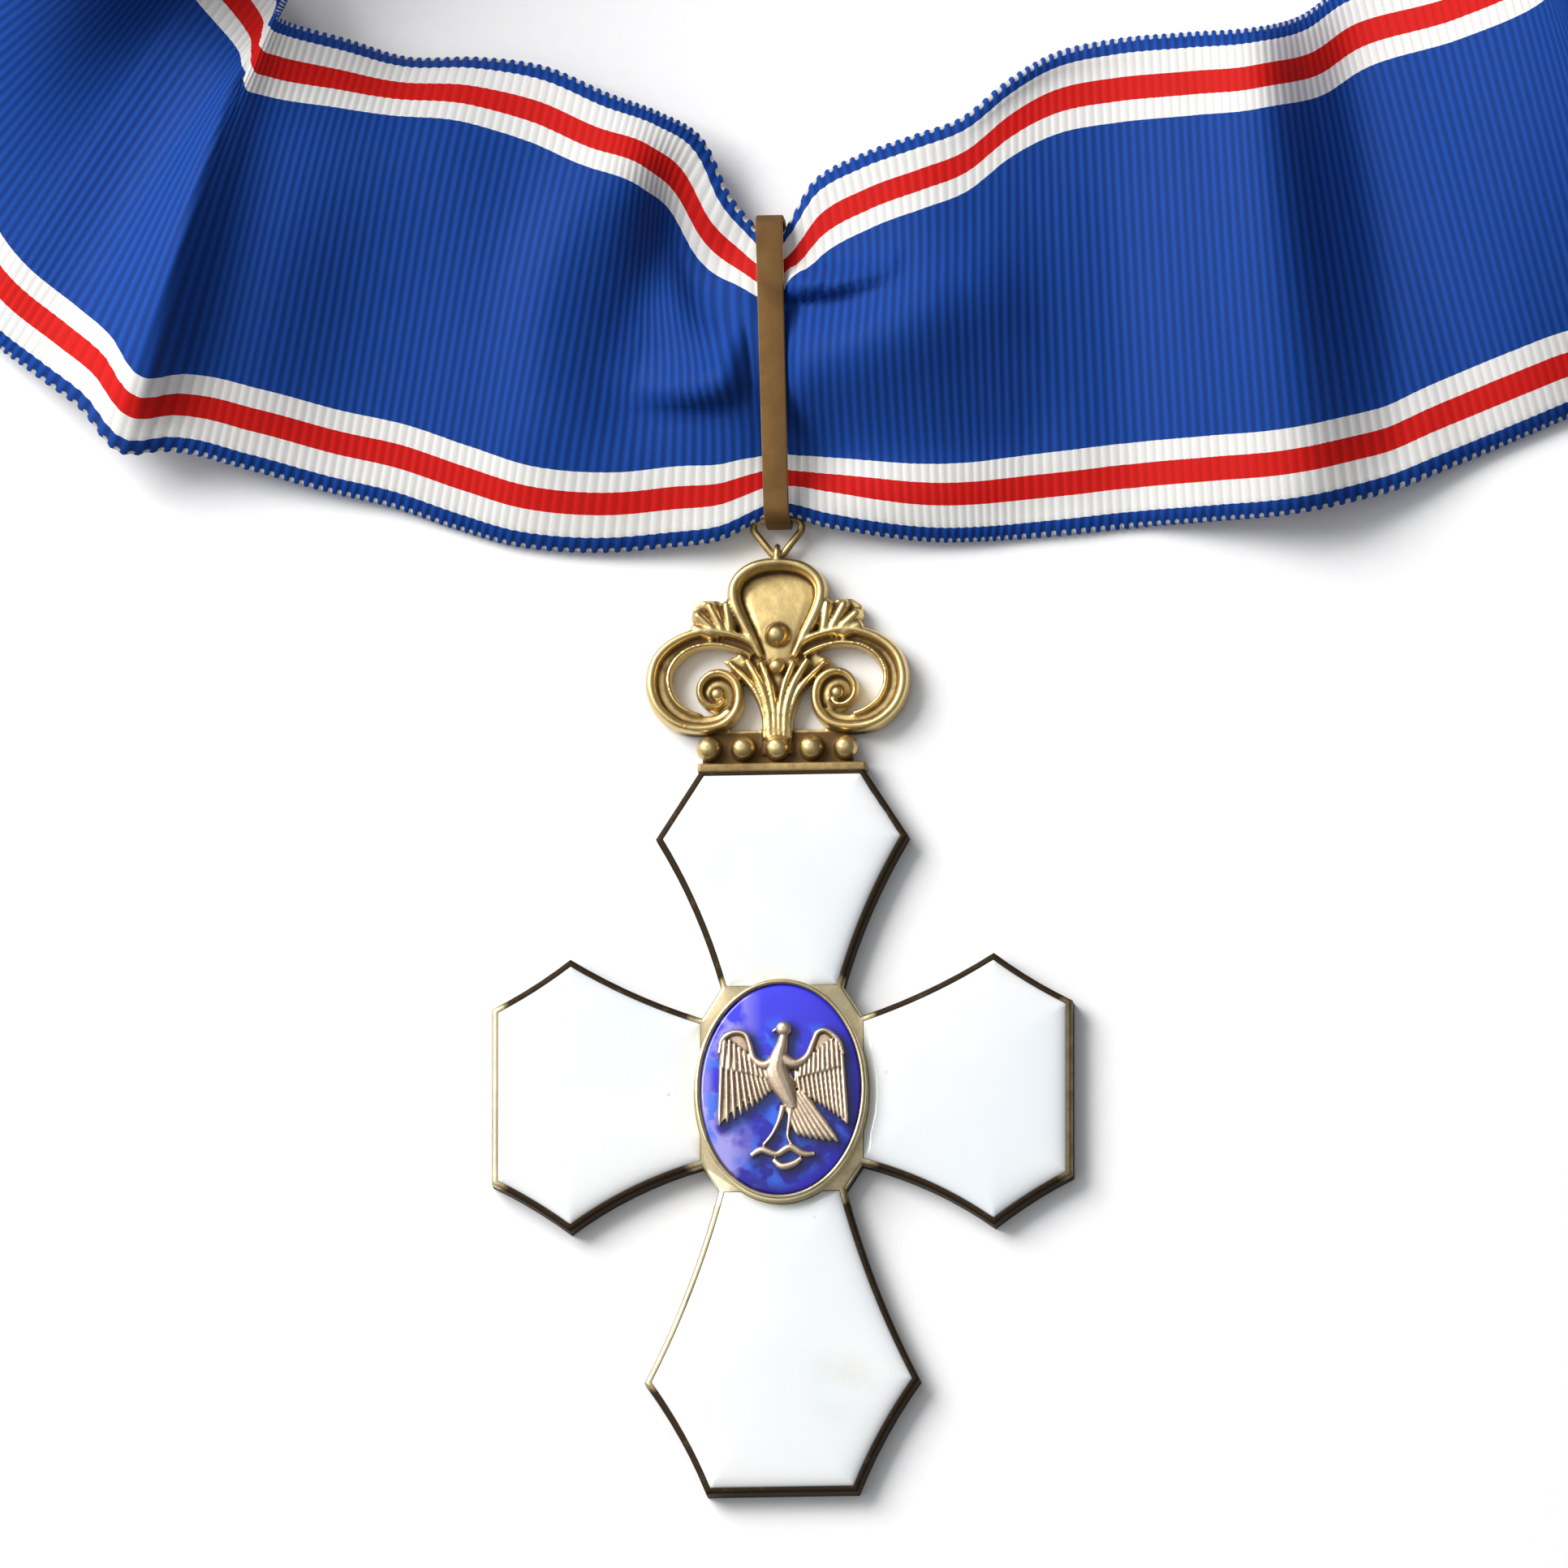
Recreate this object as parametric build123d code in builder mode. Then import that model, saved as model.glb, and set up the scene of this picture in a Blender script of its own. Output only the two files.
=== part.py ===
# Order neck badge: enamelled cross with an openwork crest, hung on a wide neck ribbon.
# Millimetres. It lies face up: Z points up from the table, Y from the cross to the ribbon.
# The origin is the middle of the cross on its flat back.

from build123d import *
import math
import os

os.makedirs("parts", exist_ok=True)

# Driving dimensions

body_height = 2.2
back_thickness = 1.0
rim_width = 0.5
rim_chamfer = 0.3
fit_gap = 0.05
hub_margin = 0.1
enamel_below_rim = 0.05
enamel_rise_edge = 0.35
enamel_rise_mid = 0.25
enamel_step_edge = 0.7
enamel_step_mid = 1.6

oval_half_x = 7.65
oval_half_y = 9.95
oval_height = 1.6
oval_rim_width = 0.4
oval_rim_chamfer = 0.2
oval_floor = 0.7
glass_below_rim = 0.1
glass_chamfer = 0.2
bird_height = 0.75
wing_share = 0.6

crest_shift = -0.45
crest_back = 0.3
crest_thickness = 1.5
crest_ridge = 0.7
dish_floor = 0.6

link_wire = 0.65
link_z = 1.3
link_clearance = 0.15
loop_width = 2.4
loop_strip = 0.5
loop_start_y = 50.9
loop_end_y = 79.0
loop_low_z = 0.1
loop_high_z = 4.9
loop_bend = 1.5
loop_centre_x = -0.6

ribbon_width = 44.0
ribbon_wall = 1.0
ribbon_rows = 12
ribbon_loop_row = 13
visible_step = 4.0
pleated_step = 2.2
hidden_step = 9.0
neck_centre = (4.0, 132.0)
neck_radius = 80.0
flat_spread = 18.0
back_edge_z = 0.7

clasp_length = 14.0
clasp_wall = 0.7
clasp_slot = 1.7
clasp_end_wall = 0.4
clasp_rounding = 0.3
clasp_shift = -0.15

# Cross outline, clockwise from the upper arm's left neck. bulge is the sagitta of the
# side that leaves the point: the long sides bend inwards a little.
cross_outline = [
    # (x, y, bulge)
    (-5.45, 9.45, -0.5),
    (-11.25, 23.0, 0.0),
    (-7.25, 29.2, 0.0),
    (7.25, 29.2, 0.0),
    (11.25, 23.0, -0.5),
    (5.45, 9.45, 0.0),
    (7.1, 6.8, -0.4),
    (18.85, 12.3, -0.2),
    (25.85, 7.9, 0.0),
    (25.85, -7.9, -0.2),
    (18.85, -12.3, -0.6),
    (7.1, -6.6, 0.0),
    (5.65, -8.8, -0.5),
    (12.25, -26.0, -0.35),
    (6.75, -36.1, 0.0),
    (-6.75, -36.1, -0.35),
    (-12.25, -26.0, -0.5),
    (-5.65, -8.8, 0.0),
    (-7.1, -6.6, -0.6),
    (-18.85, -12.3, -0.2),
    (-25.85, -7.9, 0.0),
    (-25.85, 7.9, -0.2),
    (-18.85, 12.3, -0.4),
    (-7.1, 6.8, 0.0),
]

# Where the four arms meet the middle of the cross.
neck_points = [
    # (x, y)
    (-5.45, 9.45),
    (5.45, 9.45),
    (7.1, 6.8),
    (7.1, -6.6),
    (5.65, -8.8),
    (-5.65, -8.8),
    (-7.1, -6.6),
    (-7.1, 6.8),
]

# Right half of each crest shape, from the crest's own centre line.
volute_outline = [
    # (x, y)
    (1.4, 39.2),
    (2.1, 40.8),
    (3.8, 41.8),
    (6.2, 42.2),
    (8.8, 41.4),
    (10.9, 39.6),
    (11.6, 37.2),
    (11.0, 34.9),
    (9.5, 33.2),
    (6.6, 32.5),
    (4.3, 33.0),
    (2.9, 34.3),
    (2.5, 36.0),
    (2.0, 37.6),
]
crescent_outer = [
    # (x, y)
    (3.9, 39.3),
    (5.6, 39.9),
    (7.4, 39.4),
    (8.6, 38.0),
    (8.7, 36.2),
    (8.0, 34.9),
]
crescent_inner = [
    # (x, y)
    (8.0, 34.9),
    (7.3, 36.4),
    (6.6, 37.8),
    (5.3, 38.6),
    (3.9, 39.3),
]
volute_eye = (5.3, 36.1)
eye_groove_radius = 2.0
eye_boss_radius = 1.2
leaf_outline = [
    # (x, y)
    (3.8, 45.6),
    (4.9, 44.4),
    (5.7, 45.0),
    (6.6, 44.5),
    (7.75, 45.0),
    (7.9, 43.5),
    (7.5, 42.2),
    (5.6, 41.6),
    (2.5, 41.0),
]
calyx_outline = [
    # (x, y)
    (0.0, 36.7),
    (1.3, 38.1),
    (2.4, 39.1),
    (4.3, 39.1),
    (3.1, 38.0),
    (2.2, 36.5),
    (1.7, 34.8),
    (1.5, 33.1),
    (1.9, 31.5),
    (0.0, 31.5),
]
calyx_heart = [
    # (x, y)
    (0.0, 36.2),
    (1.6, 39.6),
    (0.0, 39.8),
]
# The pear loop's outer and inner edge: top, widest point, flank and foot.
pear_outer = [
    # (x, y)
    (0.0, 48.6),
    (4.7, 45.6),
    (3.7, 42.8),
    (1.25, 39.4),
]
pear_inner = [
    # (x, y)
    (0.0, 47.5),
    (3.3, 45.4),
    (2.5, 43.0),
    (0.6, 40.7),
]
pear_ball_y = 41.4
pear_ball_radius = 1.0
pear_ball_rise = 1.1
stem_bead_y = 38.6
stem_bead_radius = 0.7
stem_bead_rise = 0.1
bead_radius = 1.2
bead_count = 5
bead_pitch = 3.0
bead_y = 31.2
bead_z = 1.65
bar_half_x = 7.5
bar_start_y = 28.9
bar_rise = 0.15
bar_end_y = 29.8
bead_plate_width = 12.6
bead_plate_depth = 3.4
bead_plate_height = 1.0
bead_plate_start_y = 29.5
eyelet_y = 48.6
eyelet_radius = 0.8
eyelet_wire = 0.56

# The wire link: a rounded triangle with its point in the eyelet.
link_point_y = 48.1
link_bar_y = 51.9
link_half_bar = 3.0
link_bend = 0.75

# Bird, from the middle of the oval. The wings are displayed, with their tips down.
bird_body = [
    # (x, y)
    (-0.3, 4.6),
    (0.9, 4.6),
    (1.7, 2.6),
    (2.1, 1.0),
    (1.9, -0.6),
    (0.9, -1.4),
    (-0.4, -1.2),
    (-1.2, 0.4),
    (-1.7, 2.0),
    (-0.7, 3.2),
]
bird_left_wing = [
    # (x, y)
    (-0.6, 2.9),
    (-1.8, 2.3),
    (-2.7, 2.9),
    (-2.8, 5.1),
    (-4.2, 5.3),
    (-5.2, 4.7),
    (-5.7, 2.6),
    (-5.7, -0.4),
    (-5.4, -3.9),
    (-3.8, -1.8),
    (-2.2, -0.4),
    (-0.8, -0.4),
]
bird_right_wing = [
    # (x, y)
    (1.0, 3.1),
    (1.8, 2.7),
    (2.6, 3.3),
    (2.8, 5.1),
    (3.6, 5.6),
    (4.6, 5.2),
    (5.7, 3.2),
    (6.0, -0.2),
    (5.9, -3.3),
    (4.1, -1.5),
    (2.7, -0.2),
    (1.6, -0.2),
]
bird_tail = [
    # (x, y)
    (0.4, -0.8),
    (1.9, -0.5),
    (3.6, -2.5),
    (4.7, -4.8),
    (2.8, -4.0),
    (1.3, -3.2),
]
bird_legs = [
    # (x, y)
    (-0.3, -0.9),
    (0.8, -1.2),
    (0.5, -3.0),
    (0.0, -4.4),
    (1.0, -5.5),
    (3.2, -5.9),
    (3.0, -6.5),
    (1.6, -6.9),
    (0.0, -7.2),
    (-0.9, -6.4),
    (-2.4, -6.5),
    (-2.2, -5.6),
    (-0.8, -5.3),
    (-0.8, -3.6),
]
bird_head_radius = 0.8
bird_head = (0.35, 5.3)

# The ribbon as it lies, from the left to the right of the part that is seen. Each row is
# one rib of the cloth: its lower end, its upper end, how high the cloth arches between
# them and where, as a share of the rib, the arch is highest.
ribbon_ribs = [
    # (low_x, low_y, low_z, top_x, top_y, top_z, arch, peak)
    (-72.0, 70.7, 1.5, -47.6, 104.6, 8.5, 3.0, 0.5),
    (-66.0, 65.4, 3.0, -43.8, 99.1, 7.5, 3.0, 0.5),
    (-62.3, 62.4, 4.5, -44.1, 97.7, 8.5, 3.5, 0.5),
    (-58.5, 58.1, 5.5, -44.5, 96.6, 9.0, 4.0, 0.5),
    (-55.0, 58.3, 5.0, -43.7, 96.3, 8.0, 3.6, 0.6),
    (-47.9, 57.0, 3.0, -38.7, 95.3, 4.5, 4.2, 0.65),
    (-40.8, 55.1, 1.6, -33.2, 94.0, 1.8, 5.0, 0.72),
    (-35.0, 53.7, 1.0, -27.1, 93.9, 1.8, 4.6, 0.7),
    (-29.3, 51.7, 0.6, -21.0, 92.8, 3.0, 3.4, 0.6),
    (-23.5, 50.0, 0.6, -15.2, 90.0, 4.4, 3.2, 0.5),
    (-16.2, 49.3, 0.9, -10.5, 88.1, 4.4, 3.4, 0.5),
    (-10.4, 49.5, 1.5, -7.2, 86.3, 4.0, 2.0, 0.5),
    (-5.7, 49.9, 2.2, -4.4, 82.9, 3.4, 0.6, 0.5),
    (-0.7, 52.0, 2.4, -0.9, 76.9, 2.6, 0.0, 0.5),
    (4.2, 50.9, 2.2, 3.2, 82.2, 3.4, 0.6, 0.5),
    (8.6, 50.2, 1.6, 7.0, 84.1, 4.0, 2.0, 0.5),
    (13.8, 49.7, 1.0, 12.3, 85.9, 4.4, 3.0, 0.5),
    (17.2, 49.7, 0.8, 16.4, 87.4, 4.5, 3.0, 0.5),
    (20.6, 49.9, 0.6, 20.3, 90.4, 4.6, 3.0, 0.5),
    (25.9, 50.3, 0.6, 24.6, 92.9, 4.6, 2.2, 0.5),
    (31.5, 50.8, 0.6, 29.7, 94.1, 4.6, 1.2, 0.5),
    (38.8, 50.9, 2.4, 36.5, 94.4, 5.6, 1.6, 0.5),
    (46.2, 51.1, 4.4, 42.5, 94.4, 7.0, 2.0, 0.5),
    (53.5, 53.0, 2.8, 46.3, 96.0, 4.0, 0.4, 0.5),
    (60.6, 56.0, 1.2, 50.1, 98.9, 2.4, 0.2, 0.5),
    (69.5, 59.8, 0.8, 59.3, 100.4, 6.0, 3.0, 0.5),
    (77.5, 63.4, 0.7, 67.0, 102.6, 13.0, 3.0, 0.5),
]
# Hidden stretch round the neck, as turns about its centre: how far the cloth stands up.
neck_turns = [
    # (angle, lean)
    (-23.0, 44.0),
    (-11.0, 60.0),
    (2.0, 73.0),
    (20.0, 85.0),
    (38.0, 90.0),
    (64.0, 90.0),
    (90.0, 90.0),
    (116.0, 90.0),
    (142.0, 90.0),
    (160.0, 85.0),
    (178.0, 73.0),
    (192.0, 58.0),
    (204.0, 42.0),
]
pleat_depth = 1.1
pleat_reach = 13.0
pleat_count = 2.0
pleat_zone = 1.4
rib_samples = 60


def draw_outline(rows):
    """Closes a run of straight and bent sides through (x, y, bulge) rows."""
    for row, after in zip(rows, rows[1:] + rows[:1]):
        if row[2]:
            SagittaArc(row[:2], after[:2], row[2])
        else:
            Line(row[:2], after[:2])


def mirrored(points):
    """The same outline on the other side of the centre line."""
    return [(-x, y) for x, y in points]


# Cross body with its recessed arms

with BuildSketch() as cross_plan:
    with BuildLine():
        draw_outline(cross_outline)
    make_face()


def arm_fields(inset, margin):
    """The four fields inside the rims, clear of the middle of the cross."""
    with BuildSketch() as fields:
        add(cross_plan.sketch)
        offset(amount=-inset, kind=Kind.INTERSECTION)
        with BuildLine():
            Polyline(*neck_points, close=True)
        hub = make_face(mode=Mode.PRIVATE)
        hub = offset(hub, amount=margin, kind=Kind.INTERSECTION, mode=Mode.PRIVATE)
        add(hub, mode=Mode.SUBTRACT)
        Ellipse(oval_half_x + margin, oval_half_y + margin, mode=Mode.SUBTRACT)
    return fields.sketch


recess_plan = arm_fields(rim_width, hub_margin)

with BuildPart() as cross_body:
    add(cross_plan.sketch)
    extrude(amount=body_height)
    top_edges = cross_body.faces().sort_by(Axis.Z)[-1].edges()
    chamfer(top_edges, length=rim_chamfer)
    with BuildSketch(Plane.XY.offset(back_thickness)):
        add(recess_plan)
    extrude(amount=body_height, mode=Mode.SUBTRACT)

# White enamel: a slab in each recess that swells up in two slopes

enamel_names = {
    # name: (x side, y side)
    "enamel_upper": (0, 1),
    "enamel_left": (-1, 0),
    "enamel_right": (1, 0),
    "enamel_lower": (0, -1),
}
field_plan = arm_fields(rim_width + fit_gap, hub_margin + fit_gap)
slope_edge = math.degrees(math.atan2(enamel_step_edge, enamel_rise_edge))
slope_mid = math.degrees(math.atan2(enamel_step_mid, enamel_rise_mid))
for enamel_name, (side_x, side_y) in enamel_names.items():
    toward = Axis((0, 0, 0), (side_x, side_y, 0))
    field = field_plan.faces().sort_by(toward)[-1]
    with BuildPart() as enamel:
        with BuildSketch(Plane.XY.offset(back_thickness)):
            add(field)
        extrude(amount=body_height - back_thickness - enamel_below_rim)
        rim_face = enamel.faces().sort_by(Axis.Z)[-1]
        extrude(rim_face, amount=enamel_rise_edge, taper=slope_edge)
        inner_face = enamel.faces().sort_by(Axis.Z)[-1]
        extrude(inner_face, amount=enamel_rise_mid, taper=slope_mid)
    enamel.part.label = enamel_name
    export_step(enamel.part, f"parts/{enamel_name}.step")

# Crest: plates and ridges of one casting, soldered to the upper arm


def half_face(points, side):
    """A face bounded by a smooth line through the points and a straight side."""
    shown = points if side > 0 else mirrored(points)
    with BuildSketch(mode=Mode.PRIVATE) as outline:
        with BuildLine():
            Spline(*shown)
            Line(shown[-1], shown[0])
        make_face()
    return outline.sketch


def corner_face(points, side):
    """A face with straight sides."""
    shown = points if side > 0 else mirrored(points)
    with BuildSketch(mode=Mode.PRIVATE) as outline:
        with BuildLine():
            Polyline(*shown, close=True)
        make_face()
    return outline.sketch


def crescent_face(side):
    """The pierced crescent between a volute's band and its eye."""
    outer = crescent_outer if side > 0 else mirrored(crescent_outer)
    inner = crescent_inner if side > 0 else mirrored(crescent_inner)
    with BuildSketch(mode=Mode.PRIVATE) as outline:
        with BuildLine():
            Spline(*outer)
            Spline(*inner)
        make_face()
    return outline.sketch


def pear_face(top, right_side, right_flank, right_foot):
    """A pear outline: an arc over the top and two smooth flanks down to a short foot."""
    left_side, left_flank, left_foot = mirrored([right_side, right_flank, right_foot])
    with BuildSketch(mode=Mode.PRIVATE) as outline:
        with BuildLine():
            ThreePointArc(left_side, top, right_side)
            Spline(right_side, right_flank, right_foot, tangents=[(0, -1), (-1, -0.9)])
            Line(right_foot, left_foot)
            Spline(left_foot, left_flank, left_side, tangents=[(-1, 0.9), (0, 1)])
        make_face()
    return outline.sketch


with BuildSketch() as crest_plan:
    for side in (-1, 1):
        add(half_face(volute_outline, side))
        add(corner_face(leaf_outline, side))
        add(corner_face(calyx_outline, side))
        add(corner_face(calyx_heart, side))
    add(pear_face(*pear_outer))
    for side in (-1, 1):
        add(crescent_face(side), mode=Mode.SUBTRACT)

link_corners = [
    # (x, y)
    (link_half_bar, link_bar_y),
    (0, link_point_y),
    (-link_half_bar, link_bar_y),
]
with BuildSketch(Plane((crest_shift, 0, link_z))) as link_plan:
    with BuildLine():
        Polyline(*link_corners, close=True)
    make_face()
    fillet(link_plan.vertices(), link_bend)
link_path = link_plan.sketch.faces()[0].outer_wire()
link_start = Plane(link_path @ 0, z_dir=link_path % 0)


def link_sweep(radius):
    """A round wire of this radius along the link's path."""
    with BuildPart(mode=Mode.PRIVATE) as swept:
        with BuildSketch(link_start):
            Circle(radius)
        sweep(path=link_path)
    return swept.part


with BuildPart() as link_ring:
    add(link_sweep(link_wire / 2))
link_ring.part.label = "link_ring"
export_step(link_ring.part, "parts/link_ring.step")

crest_top = crest_back + crest_thickness
crest_origin = (crest_shift, 0, crest_back)
with BuildPart() as crest:
    with BuildSketch(Plane(crest_origin)):
        add(crest_plan.sketch)
    extrude(amount=crest_thickness)
    # ridge round each volute, and the eye that its spiral ends in
    with BuildSketch(Plane((crest_shift, 0, crest_top))):
        for side in (-1, 1):
            add(half_face(volute_outline, side))
            with Locations((side * volute_eye[0], volute_eye[1])):
                Circle(eye_groove_radius, mode=Mode.SUBTRACT)
                Circle(eye_boss_radius)
            add(crescent_face(side), mode=Mode.SUBTRACT)
    extrude(amount=crest_ridge / 2)
    # pear loop: a thick wire round a dished plate
    with BuildSketch(Plane((crest_shift, 0, crest_top))):
        add(pear_face(*pear_outer))
    extrude(amount=crest_ridge)
    with BuildSketch(Plane((crest_shift, 0, crest_back + dish_floor))):
        add(pear_face(*pear_inner))
    extrude(amount=crest_top, mode=Mode.SUBTRACT)
    with Locations((crest_shift, pear_ball_y, crest_back + pear_ball_rise)):
        Sphere(pear_ball_radius)
    with Locations((crest_shift, stem_bead_y, crest_top + stem_bead_rise)):
        Sphere(stem_bead_radius)
    # the row of beads on a base bar
    for step in range(bead_count):
        bead_x = crest_shift + (step - (bead_count - 1) / 2) * bead_pitch
        with Locations((bead_x, bead_y, bead_z)):
            Sphere(bead_radius)
    bar_height = body_height + bar_rise - crest_back
    bar_size = (2 * bar_half_x, bar_end_y - bar_start_y, bar_height)
    with Locations((0, bar_start_y, crest_back)):
        Box(*bar_size, align=(Align.CENTER, Align.MIN, Align.MIN))
    plate_size = (bead_plate_width, bead_plate_depth, bead_plate_height)
    with Locations((crest_shift, bead_plate_start_y, crest_back)):
        Box(*plate_size, align=(Align.CENTER, Align.MIN, Align.MIN))
    # eyelet for the link at the top of the pear loop
    add(link_sweep(link_wire / 2 + link_clearance), mode=Mode.SUBTRACT)
    with Locations(Location((crest_shift, eyelet_y, link_z), (0, 90, 0))):
        Torus(eyelet_radius, eyelet_wire / 2)

with BuildPart() as cross_frame:
    add(cross_body.part)
    add(crest.part)
cross_frame.part.label = "cross_frame"
export_step(cross_frame.part, "parts/cross_frame.step")
print("cross frame solids", len(cross_frame.solids()), round(cross_frame.part.volume, 1))

# Medallion: rimmed oval plate, blue enamel in it and the bird on the enamel

oval_base = body_height
with BuildPart() as medallion_plate:
    with BuildSketch(Plane.XY.offset(oval_base)):
        Ellipse(oval_half_x, oval_half_y)
    extrude(amount=oval_height)
    rim_edges = medallion_plate.faces().sort_by(Axis.Z)[-1].edges()
    chamfer(rim_edges, length=oval_rim_chamfer)
    with BuildSketch(Plane.XY.offset(oval_base + oval_floor)):
        Ellipse(oval_half_x - oval_rim_width, oval_half_y - oval_rim_width)
    extrude(amount=oval_height, mode=Mode.SUBTRACT)
medallion_plate.part.label = "medallion_plate"
export_step(medallion_plate.part, "parts/medallion_plate.step")

glass_inset = oval_rim_width + fit_gap
glass_top = oval_base + oval_height - glass_below_rim
with BuildPart() as medallion_enamel:
    with BuildSketch(Plane.XY.offset(oval_base + oval_floor)):
        Ellipse(oval_half_x - glass_inset, oval_half_y - glass_inset)
    extrude(amount=glass_top - oval_base - oval_floor)
    glass_edges = medallion_enamel.faces().sort_by(Axis.Z)[-1].edges()
    chamfer(glass_edges, length=glass_chamfer)
medallion_enamel.part.label = "medallion_enamel"
export_step(medallion_enamel.part, "parts/medallion_enamel.step")

with BuildPart() as heraldic_bird:
    with BuildSketch(Plane.XY.offset(glass_top)):
        for limb in (bird_left_wing, bird_right_wing, bird_tail, bird_legs):
            add(corner_face(limb, 1))
    extrude(amount=bird_height * wing_share)
    with BuildSketch(Plane.XY.offset(glass_top)):
        add(corner_face(bird_body, 1))
        with Locations(bird_head):
            Circle(bird_head_radius)
    extrude(amount=bird_height)
heraldic_bird.part.label = "heraldic_bird"
export_step(heraldic_bird.part, "parts/heraldic_bird.step")
print("bird solids", len(heraldic_bird.solids()))

# Strip loop: a flat strip bent into a long closed loop, seen from its narrow side here

loop_mid_y = (loop_start_y + loop_end_y) / 2
loop_mid_z = (loop_low_z + loop_high_z) / 2
loop_length = loop_end_y - loop_start_y
loop_height = loop_high_z - loop_low_z
loop_middle = (loop_centre_x, loop_mid_y, loop_mid_z)
with BuildPart() as strip_loop:
    with BuildSketch(Plane(loop_middle, x_dir=(0, 1, 0), z_dir=(1, 0, 0))):
        RectangleRounded(loop_length, loop_height, loop_bend)
        hollow_size = (loop_length - 2 * loop_strip, loop_height - 2 * loop_strip)
        RectangleRounded(*hollow_size, loop_bend - loop_strip, mode=Mode.SUBTRACT)
    extrude(amount=loop_width / 2, both=True)
strip_loop.part.label = "strip_loop"
export_step(strip_loop.part, "parts/strip_loop.step")

# Ribbon: a closed band of ribs. Each rib runs from the lower to the upper edge of the cloth.


def standing_rib(turn, lean):
    """A rib of the hidden stretch, which leans up from the table towards the neck."""
    across = math.cos(math.radians(lean))
    up = math.sin(math.radians(lean))
    out_x = math.cos(math.radians(turn))
    out_y = math.sin(math.radians(turn))
    low_reach = neck_radius + flat_spread * across
    top_reach = low_reach - ribbon_width * across
    low = (neck_centre[0] + low_reach * out_x, neck_centre[1] + low_reach * out_y)
    top = (neck_centre[0] + top_reach * out_x, neck_centre[1] + top_reach * out_y)
    return (*low, back_edge_z, *top, back_edge_z + ribbon_width * up, 0.0, 0.5)


def middle(rib):
    """The middle of a rib's straight line."""
    return [(rib[i] + rib[i + 3]) / 2 for i in range(3)]


all_ribs = ribbon_ribs + [standing_rib(turn, lean) for turn, lean in neck_turns]
rib_count = len(all_ribs)
marks = [0.0]
for number in range(rib_count):
    here = middle(all_ribs[number])
    following = middle(all_ribs[(number + 1) % rib_count])
    marks.append(marks[-1] + math.dist(here, following))
around = marks[-1]


def slope_at(number):
    """How each column changes with distance at a rib, from the ribs on both sides."""
    before = all_ribs[number - 1]
    here = all_ribs[number]
    after = all_ribs[(number + 1) % rib_count]
    step_in = marks[number] - marks[number - 1] if number else around - marks[rib_count - 1]
    step_out = marks[number + 1] - marks[number]
    slopes = []
    for old, now, new in zip(before, here, after):
        rate_in = (now - old) / step_in
        rate_out = (new - now) / step_out
        slopes.append((rate_in * step_out + rate_out * step_in) / (step_in + step_out))
    return slopes


rib_slopes = [slope_at(number) for number in range(rib_count)]


def rib_at(distance):
    """The rib at a distance along the ribbon, on a smooth curve through the rows."""
    distance = distance % around
    number = max(i for i in range(rib_count) if marks[i] <= distance)
    after = (number + 1) % rib_count
    step = marks[number + 1] - marks[number]
    share = (distance - marks[number]) / step
    start_weight = 2 * share**3 - 3 * share**2 + 1
    start_slope = step * (share**3 - 2 * share**2 + share)
    end_slope = step * (share**3 - share**2)
    return [
        start_weight * a + (1 - start_weight) * b + start_slope * u + end_slope * v
        for a, b, u, v in zip(
            all_ribs[number], all_ribs[after], rib_slopes[number], rib_slopes[after]
        )
    ]


loop_mark = marks[ribbon_loop_row]


def cloth_point(distance, share):
    """A point of the cloth's middle surface: the rib, its arch and the pleats at the loop."""
    low_x, low_y, low_z, top_x, top_y, top_z, arch, peak = rib_at(distance)
    x = low_x + (top_x - low_x) * share
    y = low_y + (top_y - low_y) * share
    z = low_z + (top_z - low_z) * share
    z += arch * math.sin(math.pi * share ** (math.log(0.5) / math.log(peak)))
    gather = math.exp(-(((distance - loop_mark) / pleat_reach) ** 2))
    window = math.sin(math.pi * share) ** 2
    z += pleat_depth * gather * window * math.sin(2 * math.pi * pleat_count * share)
    return (x, y, z)


def cloth_rib(distance, rows):
    """Points along one rib, evenly spaced along the cloth."""
    samples = [cloth_point(distance, i / rib_samples) for i in range(rib_samples + 1)]
    run = [0.0]
    for old, new in zip(samples, samples[1:]):
        run.append(run[-1] + math.dist(old, new))
    points = []
    for row in range(rows + 1):
        wanted = run[-1] * row / rows
        i = max(k for k in range(rib_samples) if run[k] <= wanted)
        part_way = (wanted - run[i]) / (run[i + 1] - run[i])
        old, new = samples[i], samples[i + 1]
        points.append([a + (b - a) * part_way for a, b in zip(old, new)])
    return points


def ribbon_marks():
    """Distances of the faceted ribs: close at the loop, wide where the ribbon is hidden."""
    visible_end = marks[len(ribbon_ribs) - 1]
    distances = []
    distance = 0.0
    while distance < around - hidden_step / 2:
        distances.append(distance)
        if abs(distance - loop_mark) < pleat_zone * pleat_reach:
            distance += pleated_step
        elif distance < visible_end:
            distance += visible_step
        else:
            distance += hidden_step
    return distances


def band_normals(grid):
    """Unit normals of a closed band of points, from its neighbours both ways."""
    normals = []
    for i, column in enumerate(grid):
        ahead = grid[(i + 1) % len(grid)]
        behind = grid[i - 1]
        line = []
        for j in range(len(column)):
            upper = column[min(j + 1, len(column) - 1)]
            lower = column[max(j - 1, 0)]
            along = Vector(*ahead[j]) - Vector(*behind[j])
            across = Vector(*upper) - Vector(*lower)
            line.append(along.cross(across).normalized())
        normals.append(line)
    return normals


grid = [cloth_rib(distance, ribbon_rows) for distance in ribbon_marks()]
normals = band_normals(grid)
half_wall = ribbon_wall / 2
outer_side = []
inner_side = []
for column, directions in zip(grid, normals):
    outer_side.append([Vector(*p) + n * half_wall for p, n in zip(column, directions)])
    inner_side.append([Vector(*p) - n * half_wall for p, n in zip(column, directions)])


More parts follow.
